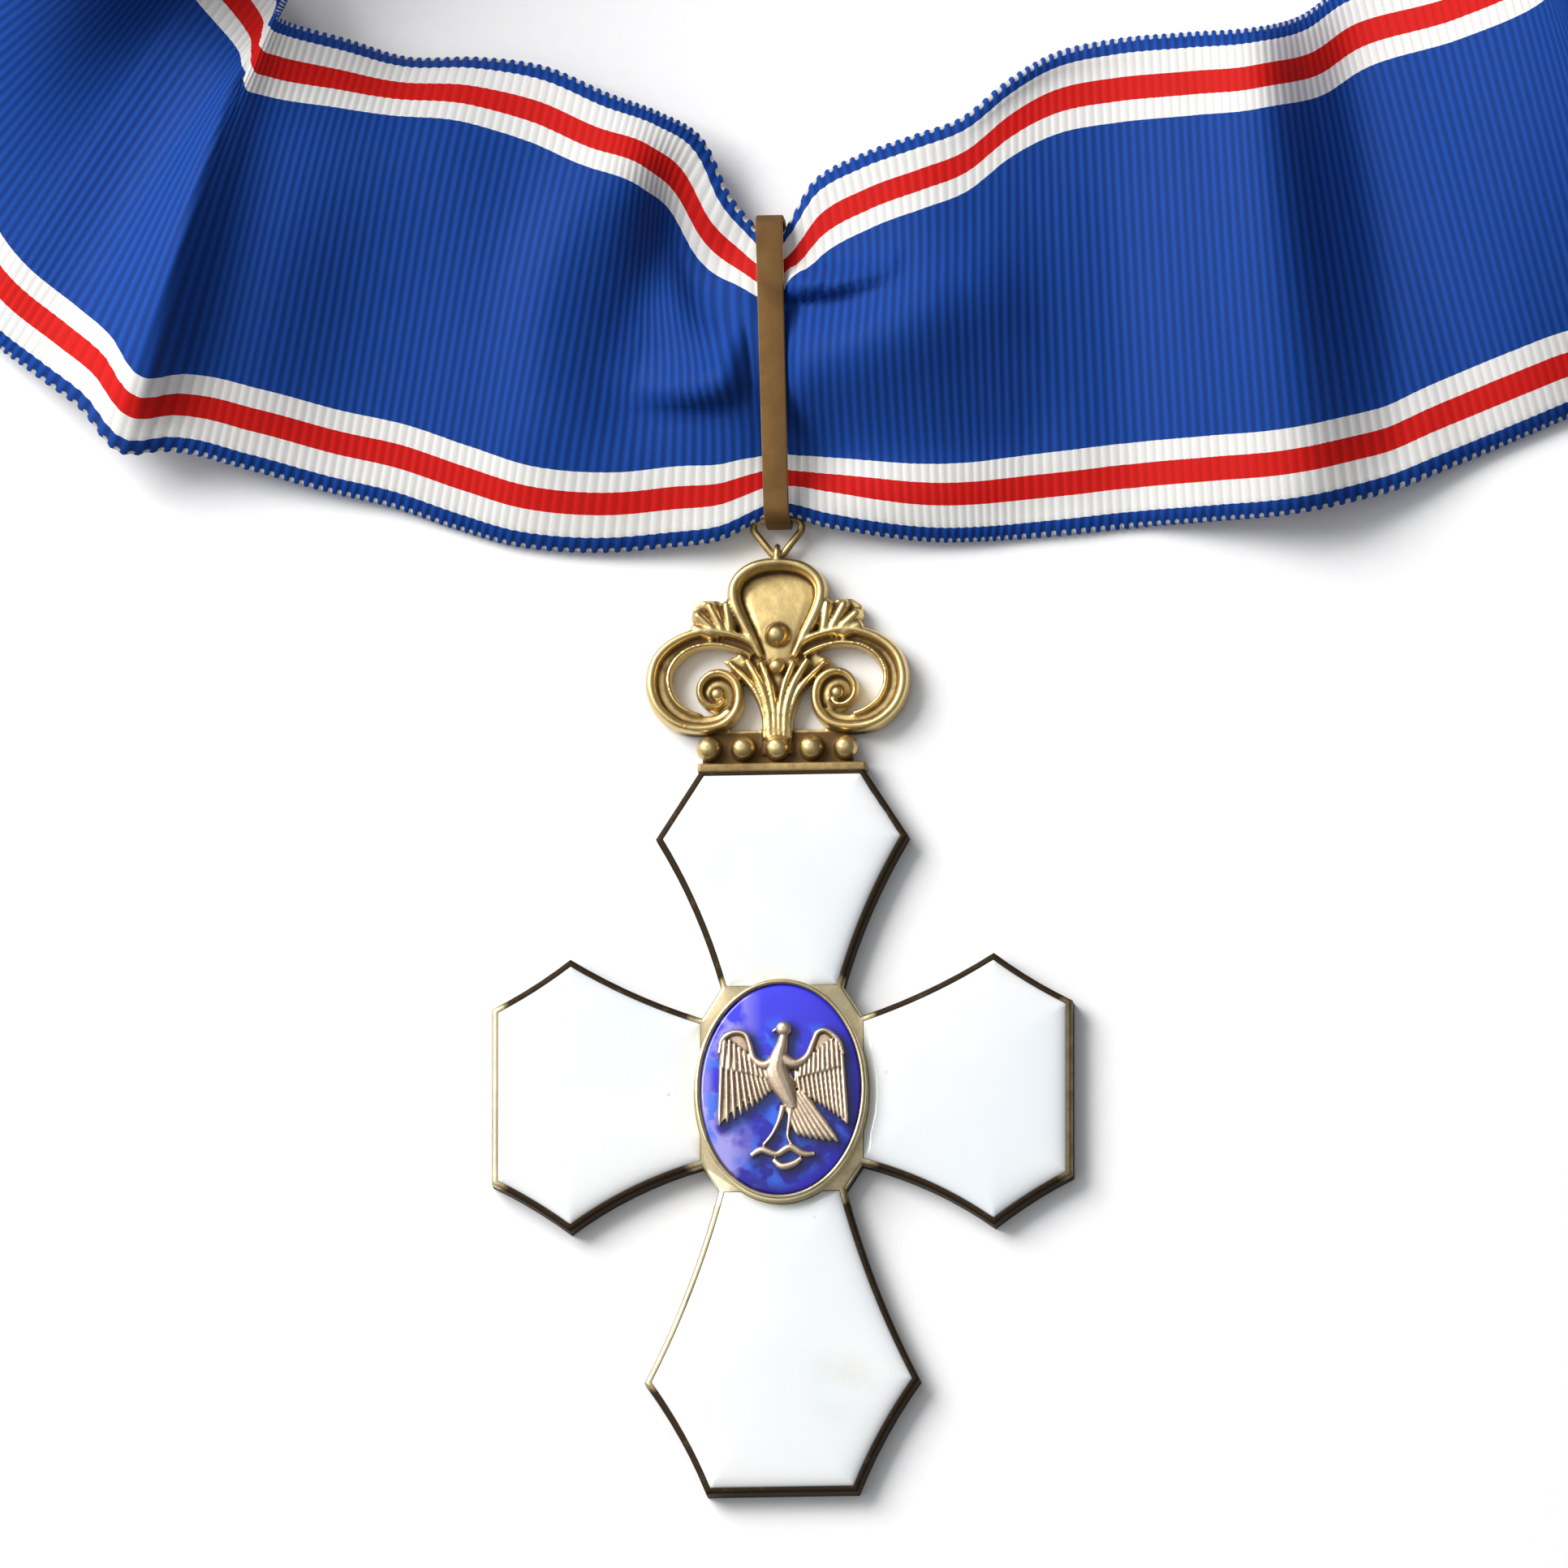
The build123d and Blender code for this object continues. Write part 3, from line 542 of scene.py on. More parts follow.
# %% Ribbon mesh
edge_blue = 1.35
outer_white = 2.1
red_stripe = 2.15
inner_white = 1.95
firm = (edge_blue + outer_white + red_stripe + inner_white) / ribbon_width
edge_rows = 5
middle_rows = 23
give_way = 0.6
edge_places = np.linspace(0, firm, edge_rows)
middle_places = np.linspace(firm, 1 - firm, middle_rows)[1:-1]
row_places = np.concatenate([edge_places, middle_places, 1 - edge_places[::-1]])
rib_rows = len(row_places) - 1
grid = np.zeros((column_count, rib_rows + 1, 3))
for number in range(column_count):
    line = np.stack([cloth_x[number], cloth_y[number], cloth_z[number]], axis=1)
    run = np.concatenate([[0.0], np.cumsum(np.linalg.norm(np.diff(line, axis=0), axis=1))])
    firm_run = firm * ((1 - give_way) * ribbon_width + give_way * run[-1])
    wanted = np.interp(row_places, [0, firm, 1 - firm, 1], [0, firm_run, run[-1] - firm_run, run[-1]])
    for axis in range(3):
        grid[number, :, axis] = np.interp(wanted, run, line[:, axis])

along = np.roll(grid, -1, axis=0) - np.roll(grid, 1, axis=0)
across = np.gradient(grid, axis=1)
cloth_normals = np.cross(along, across)
cloth_normals /= np.linalg.norm(cloth_normals, axis=2, keepdims=True)
edge_way = np.zeros_like(grid)
edge_way[:, 0] = grid[:, 0] - grid[:, 1]
edge_way[:, -1] = grid[:, -1] - grid[:, -2]
edge_way /= np.maximum(np.linalg.norm(edge_way, axis=2, keepdims=True), 1e-9)

half = ribbon_thickness / 2
side_size = column_count * (rib_rows + 1)
sides = [grid + cloth_normals * half, grid - cloth_normals * half]
ribbon_points = np.concatenate([side.reshape(-1, 3) for side in sides])
ribbon_faces = []
face_columns = []
for i in range(column_count):
    k = (i + 1) % column_count
    for j in range(rib_rows):
        a, b = i * (rib_rows + 1) + j, k * (rib_rows + 1) + j
        ribbon_faces.append((a, b, b + 1, a + 1))
        ribbon_faces.append((side_size + a, side_size + a + 1, side_size + b + 1, side_size + b))
        face_columns += [i, i]
    low_a, low_b = i * (rib_rows + 1), k * (rib_rows + 1)
    ribbon_faces.append((low_a, side_size + low_a, side_size + low_b, low_b))
    top_a, top_b = low_a + rib_rows, low_b + rib_rows
    ribbon_faces.append((top_a, top_b, side_size + top_b, side_size + top_a))
    face_columns += [i, i]
ribbon_base = make_object("ribbon_base", ribbon_points, ribbon_faces)

corner_points = np.zeros(len(ribbon_base.data.loops), int)
ribbon_base.data.loops.foreach_get("vertex_index", corner_points)
corner_column = (corner_points % side_size) // (rib_rows + 1)
corner_row = corner_points % (rib_rows + 1)
wrapped = (np.repeat(face_columns, 4) == column_count - 1) & (corner_column == 0)
corner_turn = np.where(wrapped, rib_count, turns[corner_column])
cloth_map = ribbon_base.data.uv_layers.new(name="cloth")
cloth_map.data.foreach_set(
    "uv", np.stack([corner_turn, row_places[corner_row]], axis=1).astype(np.float32).ravel()
)
wave = -np.cos(2 * np.pi * turns)[:, None, None]
both_sides = [cloth_normals * wave, -cloth_normals * wave]
for label, values in (
    ("rib_way", np.concatenate([v.reshape(-1, 3) for v in both_sides])),
    ("tooth_way", np.concatenate([(edge_way * wave).reshape(-1, 3)] * 2)),
):
    written = ribbon_base.data.attributes.new(label, "FLOAT_VECTOR", "POINT")
    written.data.foreach_set("vector", values.astype(np.float32).ravel())
print("ribbon mesh", len(ribbon_faces), "faces")

# %% [markdown]
# ### Ribs and selvage, with Geometry Nodes
# Thick weft threads make the ribs, and where each one turns back it leaves a small
# tooth on the edge. A tree moves the columns of points up and outwards on a rib and down
# and inwards in a groove. The depths are named inputs, so a finer or coarser silk is one
# number away.

# %% Rib tree


def new_shape_tree(name, inputs):
    """An empty geometry tree with one geometry going in and out, and named numbers."""
    tree = bpy.data.node_groups.new(name, "GeometryNodeTree")
    tree.interface.new_socket("Geometry", in_out="INPUT", socket_type="NodeSocketGeometry")
    for label, (kind, start) in inputs.items():
        socket = tree.interface.new_socket(label, in_out="INPUT", socket_type="NodeSocket" + kind)
        if start is not None:
            socket.default_value = start
    tree.interface.new_socket("Geometry", in_out="OUTPUT", socket_type="NodeSocketGeometry")
    return tree, tree.nodes.new("NodeGroupInput").outputs, tree.nodes.new("NodeGroupOutput").inputs


def end_tree(tree, shape, material_socket, output):
    """Makes instances real, sets the material and ends the tree."""
    real = node(tree, "GeometryNodeRealizeInstances", {"Geometry": shape})
    paint_inputs = {"Geometry": real.outputs[0], "Material": material_socket}
    painted = node(tree, "GeometryNodeSetMaterial", paint_inputs)
    tree.links.new(painted.outputs[0], output)


def run_tree(base, tree, values, name):
    """Runs a tree on an object with these inputs and returns a plain mesh object."""
    modifier = base.modifiers.new(tree.name, "NODES")
    modifier.node_group = tree
    for item in tree.interface.items_tree:
        if item.in_out == "INPUT" and item.name in values:
            modifier[item.identifier] = values[item.name]
    return baked(base, name)


rib_tree, rib_in, rib_out = new_shape_tree(
    "ribbed silk",
    {
        "Rib Depth": ("Float", 0.05 * mm),
        "Tooth Depth": ("Float", 0.12 * mm),
        "Material": ("Material", None),
    },
)
moves = []
for way, depth in (("rib_way", "Rib Depth"), ("tooth_way", "Tooth Depth")):
    read = node(rib_tree, "GeometryNodeInputNamedAttribute", {"Name": way}, data_type="FLOAT_VECTOR")
    scale_inputs = {0: read.outputs[0], "Scale": rib_in[depth]}
    moves.append(node(rib_tree, "ShaderNodeVectorMath", scale_inputs, operation="SCALE").outputs[0])
move = node(rib_tree, "ShaderNodeVectorMath", dict(enumerate(moves)), operation="ADD")
rib_inputs = {"Geometry": rib_in["Geometry"], "Offset": move.outputs[0]}
ribbed = node(rib_tree, "GeometryNodeSetPosition", rib_inputs)
end_tree(rib_tree, ribbed.outputs[0], rib_in["Material"], rib_out["Geometry"])
print("tree:", rib_tree.name)

# %% [markdown]
# ### Striped silk
# The stripes run along the ribbon, so they follow the map from edge to edge: blue edge,
# white, red, white, then the wide blue middle, and the same again from the other edge.
# Every groove is painted darker and every rib top lighter, most in the blue: painted shade
# and painted highlight on the ribs. A fine thread grain makes it silk.
# Each tooth on the edge has a light tip.

# %% Silk finish
silk, silk_tree, silk_shader = new_material("striped silk")
cloth_uv = node(silk_tree, "ShaderNodeUVMap", uv_map="cloth").outputs[0]
cloth_xy = node(silk_tree, "ShaderNodeSeparateXYZ", {0: cloth_uv}).outputs
from_edge = calc(silk_tree, "MULTIPLY", calc(silk_tree, "PINGPONG", cloth_xy[1], 0.5), ribbon_width)
thread_counts = (6.0, 700.0, 1.0)
thread_place = node(
    silk_tree, "ShaderNodeVectorMath", {0: cloth_uv, 1: thread_counts}, operation="MULTIPLY"
).outputs[0]
thread_inputs = {"Vector": thread_place, "Scale": 1.0, "Detail": 2.0}
threads = node(silk_tree, "ShaderNodeTexNoise", thread_inputs).outputs[0]
wobble = calc(silk_tree, "MULTIPLY", calc(silk_tree, "SUBTRACT", threads, 0.5), 0.12)
stripe_place = calc(silk_tree, "DIVIDE", calc(silk_tree, "ADD", from_edge, wobble), ribbon_width / 2)
stripes = node(silk_tree, "ShaderNodeValToRGB", {"Fac": stripe_place})
stripes.color_ramp.interpolation = "CONSTANT"
stripe_blue = (0.008, 0.051, 0.275, 1)
stripe_white = (0.74, 0.73, 0.71, 1)
stripe_red = (0.56, 0.010, 0.008, 1)
ends = np.cumsum([edge_blue, outer_white, red_stripe, inner_white]) / (ribbon_width / 2)
stops = [stripe_white, stripe_red, stripe_white, stripe_blue]
stripes.color_ramp.elements[0].color = stripe_blue
stripes.color_ramp.elements[1].position = ends[0]
stripes.color_ramp.elements[1].color = stops[0]
for end, colour in zip(ends[1:], stops[1:]):
    stripes.color_ramp.elements.new(end).color = colour
groove = calc(silk_tree, "COSINE", calc(silk_tree, "MULTIPLY", cloth_xy[0], 2 * math.pi))
# Painted shade in each groove and a painted highlight on each rib top, stronger in the blue.
in_blue = remap(silk_tree, groove, -0.9, 0.7, 1.16, 0.70)
in_light = remap(silk_tree, groove, 0.1, 0.95, 1.0, 0.84)
stripe_red_part = node(silk_tree, "ShaderNodeSeparateColor", {0: stripes.outputs[0]}).outputs[0]
is_blue = calc(silk_tree, "LESS_THAN", stripe_red_part, 0.1)
rib_shading = node(silk_tree, "ShaderNodeMix", {0: is_blue, 2: in_light, 3: in_blue}).outputs[0]
thread_light = remap(silk_tree, threads, 0.3, 0.7, 0.9, 1.06)
shade = calc(silk_tree, "MULTIPLY", rib_shading, thread_light)
on_edge = remap(silk_tree, from_edge, 0.34, 0.20)
tip = calc(silk_tree, "MULTIPLY", on_edge, remap(silk_tree, groove, -0.1, 0.5))
tipped = blend(silk_tree, tip, stripes.outputs[0], stripe_white)
shaded = node(silk_tree, "ShaderNodeMix", data_type="RGBA", blend_type="MULTIPLY")
shaded.inputs[0].default_value = 1.0
silk_tree.links.new(tipped, shaded.inputs[6])
silk_tree.links.new(shade, shaded.inputs[7])
silk_tree.links.new(shaded.outputs[2], silk_shader.inputs["Base Color"])
silk_shader.inputs["Roughness"].default_value = 0.6
silk_shader.inputs["Specular IOR Level"].default_value = 0.08
silk_shader.inputs["Sheen Weight"].default_value = 0.02
silk_shader.inputs["Sheen Roughness"].default_value = 0.4
silk_bump = node(silk_tree, "ShaderNodeBump", {"Height": threads, "Strength": 0.6, "Distance": 0.03 * mm})
silk_tree.links.new(silk_bump.outputs["Normal"], silk_shader.inputs["Normal"])

ribbon = run_tree(
    ribbon_base,
    rib_tree,
    {"Rib Depth": 0.04 * mm, "Tooth Depth": 0.10 * mm, "Material": silk},
    "ribbon_silk",
)
dress(ribbon, silk, "ribbon")

# %% [markdown]
# ## Outlines read from the solids
# The cross and its enamel fields are drawn once, in the solid model. Here their outlines
# are read back from the flat underside of each solid, as one loop of points, so that a
# rounded rim or a domed field always fits.

# %% Outline helpers


def flat_outline(name, height):
    """The loop of points round a solid's flat face at this height, in millimetres."""
    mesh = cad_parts[name].data
    points = point_array(mesh) / mm
    keys = [tuple(np.round(p, 3)) for p in points]
    sides = {}
    for face in mesh.polygons:
        corners = [keys[v] for v in face.vertices]
        if all(abs(c[2] - height) < 0.01 for c in corners):
            for a, b in zip(corners, corners[1:] + corners[:1]):
                sides[(a, b)] = True
    border = {a: b for a, b in sides if (b, a) not in sides}
    start = next(iter(border))
    loop = [start]
    while border[loop[-1]] != start:
        loop.append(border[loop[-1]])
    flat = np.array(loop)[:, :2]
    turned = np.roll(flat, -1, axis=0)
    if (flat[:, 0] * turned[:, 1] - flat[:, 1] * turned[:, 0]).sum() < 0:
        flat = flat[::-1]
    return flat


def spaced(loop, spacing):
    """The same loop with extra points on its long sides."""
    points = []
    for a, b in zip(loop, np.roll(loop, -1, axis=0)):
        count = max(1, round(np.linalg.norm(b - a) / spacing))
        points += [a + (b - a) * i / count for i in range(count)]
    return np.array(points)


def inset(loop, amount):
    """The loop moved inwards by this much, with its corners kept sharp."""
    ahead = np.roll(loop, -1, axis=0) - loop
    ahead /= np.linalg.norm(ahead, axis=1, keepdims=True)
    inward = np.stack([-ahead[:, 1], ahead[:, 0]], axis=1)
    before = np.roll(inward, 1, axis=0)
    together = inward + before
    return loop + together * (2 * amount / (together**2).sum(1))[:, None]


def edge_distance(points, loop):
    """How far each point lies from the loop."""
    nearest = np.full(len(points), np.inf)
    for a, b in zip(loop, np.roll(loop, -1, axis=0)):
        run = b - a
        share = np.clip((points - a) @ run / (run @ run), 0, 1)
        away = np.linalg.norm(points - (a + share[:, None] * run), axis=1)
        nearest = np.minimum(nearest, away)
    return nearest


def is_inside(points, loop):
    """True for the points inside the loop."""
    inside = np.zeros(len(points), bool)
    for a, b in zip(loop, np.roll(loop, -1, axis=0)):
        if a[1] == b[1]:
            continue
        crosses = (a[1] > points[:, 1]) != (b[1] > points[:, 1])
        where = a[0] + (points[:, 1] - a[1]) / (b[1] - a[1]) * (b[0] - a[0])
        inside ^= crosses & (points[:, 0] < where)
    return inside


def fill_flat(loops, extra=()):
    """Triangles between an outer loop and the loops inside it, through extra points too."""
    points = [tuple(p) for loop in loops for p in loop] + [tuple(p) for p in extra]
    edges = []
    start = 0
    for loop in loops:
        edges += [(start + i, start + (i + 1) % len(loop)) for i in range(len(loop))]
        start += len(loop)
    found = delaunay_2d_cdt([Vector(p) for p in points], edges, [], 0, 1e-6)
    places = np.array([tuple(p) for p in found[0]])
    faces = np.array([tuple(f) for f in found[2]])
    middles = places[faces].mean(axis=1)
    kept = is_inside(middles, loops[0])
    for hole in loops[1:]:
        kept &= ~is_inside(middles, hole)
    return places, faces[kept]


# %% [markdown]
# ## The cross
# The cross is a flat gilt casting with a raised rim round each arm. Its outline goes up
# as a wall, turns over a small rounded edge and runs level to the enamel. The rim is
# painted brown, partly tarnish and partly painted shade, and its wall darker still: painted
# shade from the table it faces. A few stretches are painted bright, most on edges that face
# the lamp: a painted highlight, with some rubbed wear. The table gives each as a line from
# start to end, the width that is brightened and how much of the brown is gone.

# %% Cross body
body_height = 2.2
enamel_floor = 1.0
rim_round = 0.34
rim_round_steps = 4
dark_rim = 0.78
wall_foot = 0.7
weld_reach = 0.004
lit_and_rubbed_rims = [
    # (start_x, start_y, end_x, end_y, width, brightening)
    (-26.0, 7.5, -26.0, -7.5, 1.6, 1.1),
    (-5.5, -7.9, -11.9, -25.3, 1.5, 1.1),
    (26.0, 7.5, 26.0, -7.5, 1.6, 0.35),
    (0.0, 3.0, 0.0, -3.0, 9.2, 1.1),
]
outline = spaced(flat_outline("cross_frame", 0.0), 0.5)
enamel_nodes = ["enamel_upper", "enamel_left", "enamel_right", "enamel_lower"]
fields = {name: spaced(flat_outline(name, enamel_floor), 0.4) for name in enamel_nodes}

rings = [(0.0, 0.0), (0.0, wall_foot)]
for step in range(rim_round_steps + 1):
    turn = math.pi / 2 * step / rim_round_steps
    rim_height = body_height - rim_round * (1 - math.sin(turn))
    rings.append((rim_round * (1 - math.cos(turn)), rim_height))
body_points, body_faces = [], []
for amount, height in rings:
    ring = inset(outline, amount) if amount else outline
    body_points += [(x, y, height) for x, y in ring]
size = len(outline)
for level in range(len(rings) - 1):
    for i in range(size):
        k = (i + 1) % size
        a, b = level * size + i, level * size + k
        body_faces.append((a, b, b + size, a + size))
under_places, under_faces = fill_flat([outline])
start = len(body_points)
body_points += [(x, y, 0.0) for x, y in under_places]
body_faces += [tuple(start + v for v in face[::-1]) for face in under_faces]
top_loop = inset(outline, rim_round)
hole_gap = -0.04
holes = [inset(fields[name], hole_gap) for name in enamel_nodes]
top_places, top_faces = fill_flat([top_loop] + holes)
start = len(body_points)
body_points += [(x, y, body_height) for x, y in top_places]
body_faces += [tuple(start + v for v in face) for face in top_faces]
for hole in holes:
    start = len(body_points)
    for height in (body_height, enamel_floor):
        body_points += [(x, y, height) for x, y in hole]
    count = len(hole)
    for i in range(count):
        k = (i + 1) % count
        body_faces.append((start + i, start + k, start + count + k, start + count + i))
    floor_places, floor_faces = fill_flat([hole])
    start = len(body_points)
    body_points += [(x, y, enamel_floor) for x, y in floor_places]
    body_faces += [tuple(start + v for v in face) for face in floor_faces]
cross_body = make_object("cross_body", body_points, body_faces)
welder = cross_body.modifiers.new("weld", "WELD")
welder.merge_threshold = weld_reach * mm
cross_body = baked(cross_body, "cross_body")
cross_body.data.set_sharp_from_angle(angle=math.radians(35))
heights = point_array(cross_body.data)[:, 2] / mm
body_xy = point_array(cross_body.data)[:, :2] / mm
# Painted shade: the wall is marked darkest and the rim top dark_rim, partly tarnish.
rim_tarnish_and_shade = np.interp(heights, [0, 2.08, body_height], [1.0, 0.8, dark_rim])
# Each listed stretch lifts the brown off the rim top: a painted highlight, most on edges that face the lamp,
# with some rubbed wear.
for start_x, start_y, end_x, end_y, width, wear in lit_and_rubbed_rims:
    line = np.array([end_x - start_x, end_y - start_y])
    from_start = body_xy - (start_x, start_y)
    along = np.clip(from_start @ line / (line @ line), 0, 1)
    away = np.hypot(*(from_start - along[:, None] * line).T)
    rim_top_part = np.clip((heights - 1.2) / 0.8, 0, 1)
    rim_tarnish_and_shade -= wear * np.clip((width - away) / 0.6, 0, 1) * rim_top_part
recess = cross_body.data.attributes.new("recess", "FLOAT", "POINT")
recess.data.foreach_set("value", rim_tarnish_and_shade.astype(np.float32))
dress(cross_body, rim_gilt, "cross_frame")

# %% [markdown]
# ## White enamel
# Enamel is glass powder melted in the recess. Surface tension pulls it into a low dome
# that falls off quickly at the rim, so its height only depends on the distance to the
# rim. A fine grid of points inside the outline carries that height.

# %% White enamel finish
speck_group, speck_in, speck_out = new_group(
    "enamel specks",
    {
        "Glass": (0.9, 0.9, 0.9, 1.0),
        "Tint": (0.8, 0.85, 0.9, 1.0),
        "Speck": (0.4, 0.35, 0.3, 1.0),
        "Cloud Scale": 90.0,
    },
    {"Color": "NodeSocketColor", "Roughness": "NodeSocketFloat", "Height": "NodeSocketFloat"},
)
speck_place = node(speck_group, "ShaderNodeTexCoord").outputs["Object"]
cloud_inputs = {"Vector": speck_place, "Scale": speck_in["Cloud Scale"], "Detail": 3.0}
speck_cloud = node(speck_group, "ShaderNodeTexNoise", cloud_inputs).outputs[0]
cloudy = remap(speck_group, speck_cloud, 0.42, 0.68)
tinted = blend(speck_group, cloudy, speck_in["Glass"], speck_in["Tint"])
pit_inputs = {"Vector": speck_place, "Scale": 420.0}
pits = node(speck_group, "ShaderNodeTexVoronoi", pit_inputs).outputs["Distance"]
few = node(speck_group, "ShaderNodeTexNoise", {"Vector": speck_place, "Scale": 260.0}).outputs[0]
pit_part, few_part = remap(speck_group, pits, 0.10, 0.03), remap(speck_group, few, 0.66, 0.72)
speck = calc(speck_group, "MULTIPLY", pit_part, few_part)
speck_group.links.new(blend(speck_group, speck, tinted, speck_in["Speck"]), speck_out["Color"])
polish_inputs = {"Vector": speck_place, "Scale": 700.0, "Detail": 4.0}
polish = node(speck_group, "ShaderNodeTexNoise", polish_inputs).outputs[0]
speck_group.links.new(remap(speck_group, polish, 0.35, 0.7, 0.08, 0.16), speck_out["Roughness"])
pit_depth = calc(speck_group, "MULTIPLY", speck, 0.4)
speck_group.links.new(calc(speck_group, "SUBTRACT", speck_cloud, pit_depth), speck_out["Height"])

white_enamel, white_tree, white_shader = new_material("white enamel")
white = use_group(
    white_tree,
    speck_group,
    {
        "Glass": (0.86, 0.865, 0.87, 1),
        "Tint": (0.79, 0.83, 0.86, 1),
        "Speck": (0.45, 0.40, 0.33, 1),
        "Cloud Scale": 70.0,
    },
)
white_place = node(white_tree, "ShaderNodeTexCoord").outputs["Object"]
stain_middle = (5.2 * mm, -26.6 * mm, 2.7 * mm)
stain_colour = (0.66, 0.66, 0.57, 1)
stain_away = node(
    white_tree, "ShaderNodeVectorMath", {0: white_place, 1: stain_middle}, operation="DISTANCE"
).outputs["Value"]
stain_inputs = {"Vector": white_place, "Scale": 230.0, "Detail": 5.0}
stain_noise = node(white_tree, "ShaderNodeTexNoise", stain_inputs).outputs[0]
near_stain = remap(white_tree, stain_away, 4.0 * mm, 0.4 * mm, 0.0, 0.5)
stain = calc(white_tree, "MULTIPLY", near_stain, remap(white_tree, stain_noise, 0.46, 0.66))
stained_white = blend(white_tree, stain, white["Color"], stain_colour)
white_tree.links.new(stained_white, white_shader.inputs["Base Color"])
white_tree.links.new(white["Roughness"], white_shader.inputs["Roughness"])
white_shader.inputs["IOR"].default_value = 1.52
white_shader.inputs["Coat Weight"].default_value = 0.5
white_shader.inputs["Coat Roughness"].default_value = 0.04
white_bump_inputs = {"Height": white["Height"], "Strength": 0.25, "Distance": 0.08 * mm}
white_bump = node(white_tree, "ShaderNodeBump", white_bump_inputs)
white_tree.links.new(white_bump.outputs["Normal"], white_shader.inputs["Normal"])
print("enamel finish:", white_enamel.name)

# %% White enamel fields
enamel_edge_z = 2.13
rise_edge, run_edge = 0.36, 0.40
rise_mid, run_mid = 0.28, 2.6
grid_step = 0.5
edge_rings = (0.10, 0.22, 0.40, 0.7)
grid_from_edge = 0.95
field_bottom = enamel_floor + 0.02


def domed_field(name, loop):
    """A closed enamel field whose height follows the distance to its rim."""
    extra = []
    for amount in edge_rings:
        ring = inset(loop, amount)
        extra.append(ring[edge_distance(ring, loop) > amount * 0.96])
    low, high = loop.min(0), loop.max(0)
    across, up = np.arange(low[0], high[0], grid_step), np.arange(low[1], high[1], grid_step)
    xs, ys = np.meshgrid(across, up)
    grid_points = np.stack([xs.ravel(), ys.ravel()], axis=1)
    grid_points = grid_points[is_inside(grid_points, loop)]
    extra.append(grid_points[edge_distance(grid_points, loop) > grid_from_edge])
    places, faces = fill_flat([loop], np.concatenate(extra))
    away = edge_distance(places, loop)
    heights = enamel_edge_z + rise_edge * (1 - np.exp(-away / run_edge))
    heights += rise_mid * (1 - np.exp(-away / run_mid))
    points = [(x, y, z) for (x, y), z in zip(places, heights)]
    all_faces = [tuple(face) for face in faces]
    start, count = len(points), len(loop)
    for height in (enamel_edge_z, field_bottom):
        points += [(x, y, height) for x, y in loop]
    for i in range(count):
        k = (i + 1) % count
        all_faces.append((start + count + i, start + count + k, start + k, start + i))
    under_places, under = fill_flat([loop])
    start = len(points)
    points += [(x, y, field_bottom) for x, y in under_places]
    all_faces += [tuple(start + v for v in face[::-1]) for face in under]
    field = make_object(name + "_dome", points, all_faces)
    weld = field.modifiers.new("weld", "WELD")
    weld.merge_threshold = weld_reach * mm
    field = baked(field, name + "_dome")
    field.data.set_sharp_from_angle(angle=math.radians(60))
    return dress(field, white_enamel, name)


for name, loop in fields.items():
    domed_field(name, loop)

# %% [markdown]
# ## The oval medallion
# A gilt oval plate with a thin round rim holds a pool of see-through blue enamel. Both
# are rings of the same oval at different heights, so one function makes them: each row
# of a table gives how far the ring lies inside the oval and how high it is.

# %% Oval pieces
plate_low, plate_high = (Vector(c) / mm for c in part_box("medallion_plate"))
oval_half_x = (plate_high.x - plate_low.x) / 2
oval_half_y = (plate_high.y - plate_low.y) / 2
glass_low, glass_high = (Vector(c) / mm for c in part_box("medallion_enamel"))
oval_steps = 128


def oval_rings(name, rows):
    """A closed piece from oval rings: (inset, height) from the underside's middle to the top's."""
    points, faces = [], []
    for amount, height in rows[1:-1]:
        for step in range(oval_steps):
            turn = 2 * math.pi * step / oval_steps
            x = (oval_half_x - amount) * math.cos(turn)
            y = (oval_half_y - amount) * math.sin(turn)
            points.append((x, y, height))
    for level in range(len(rows) - 3):
        for step in range(oval_steps):
            a = level * oval_steps + step
            b = level * oval_steps + (step + 1) % oval_steps
            faces.append((a, b, b + oval_steps, a + oval_steps))
    under, top = len(points), len(points) + 1
    points += [(0, 0, rows[0][1]), (0, 0, rows[-1][1])]
    last = (len(rows) - 3) * oval_steps
    for step in range(oval_steps):
        after = (step + 1) % oval_steps
        faces.append((under, after, step))
        faces.append((top, last + step, last + after))
    return make_object(name, points, faces)


plate_bottom, rim_top = body_height + 0.01, plate_high.z
plate_rows = [(0, plate_bottom), (0.6, plate_bottom), (0.0, plate_bottom), (0.0, body_height + 0.8)]
rim_wire = 0.24
rim_steps = 8
for step in range(rim_steps + 1):
    turn = math.pi * step / rim_steps
    height = rim_top - rim_wire + rim_wire * math.sin(turn)
    plate_rows.append((rim_wire * (1 - math.cos(turn)), height))
plate_rows += [(2 * rim_wire + 0.02, glass_low.z), (4.0, glass_low.z), (0, glass_low.z)]
medallion = oval_rings("medallion_rim", plate_rows)
medallion.data.set_sharp_from_angle(angle=math.radians(50))
mark_recesses(medallion, 3, 0.10)
dress(medallion, rim_gilt, "medallion_plate")

# %% [markdown]
# ### Blue enamel
# The blue is clear glass over a bright cut ground, so it is violet where light comes back
# through it and deep royal blue elsewhere. That light is painted: soft violet clouds and a
# violet strip at the rim on its left side, towards the lamp, and a lighter blue towards the
# upper left. With a clear coat on top they give that depth without tracing light through
# real glass.

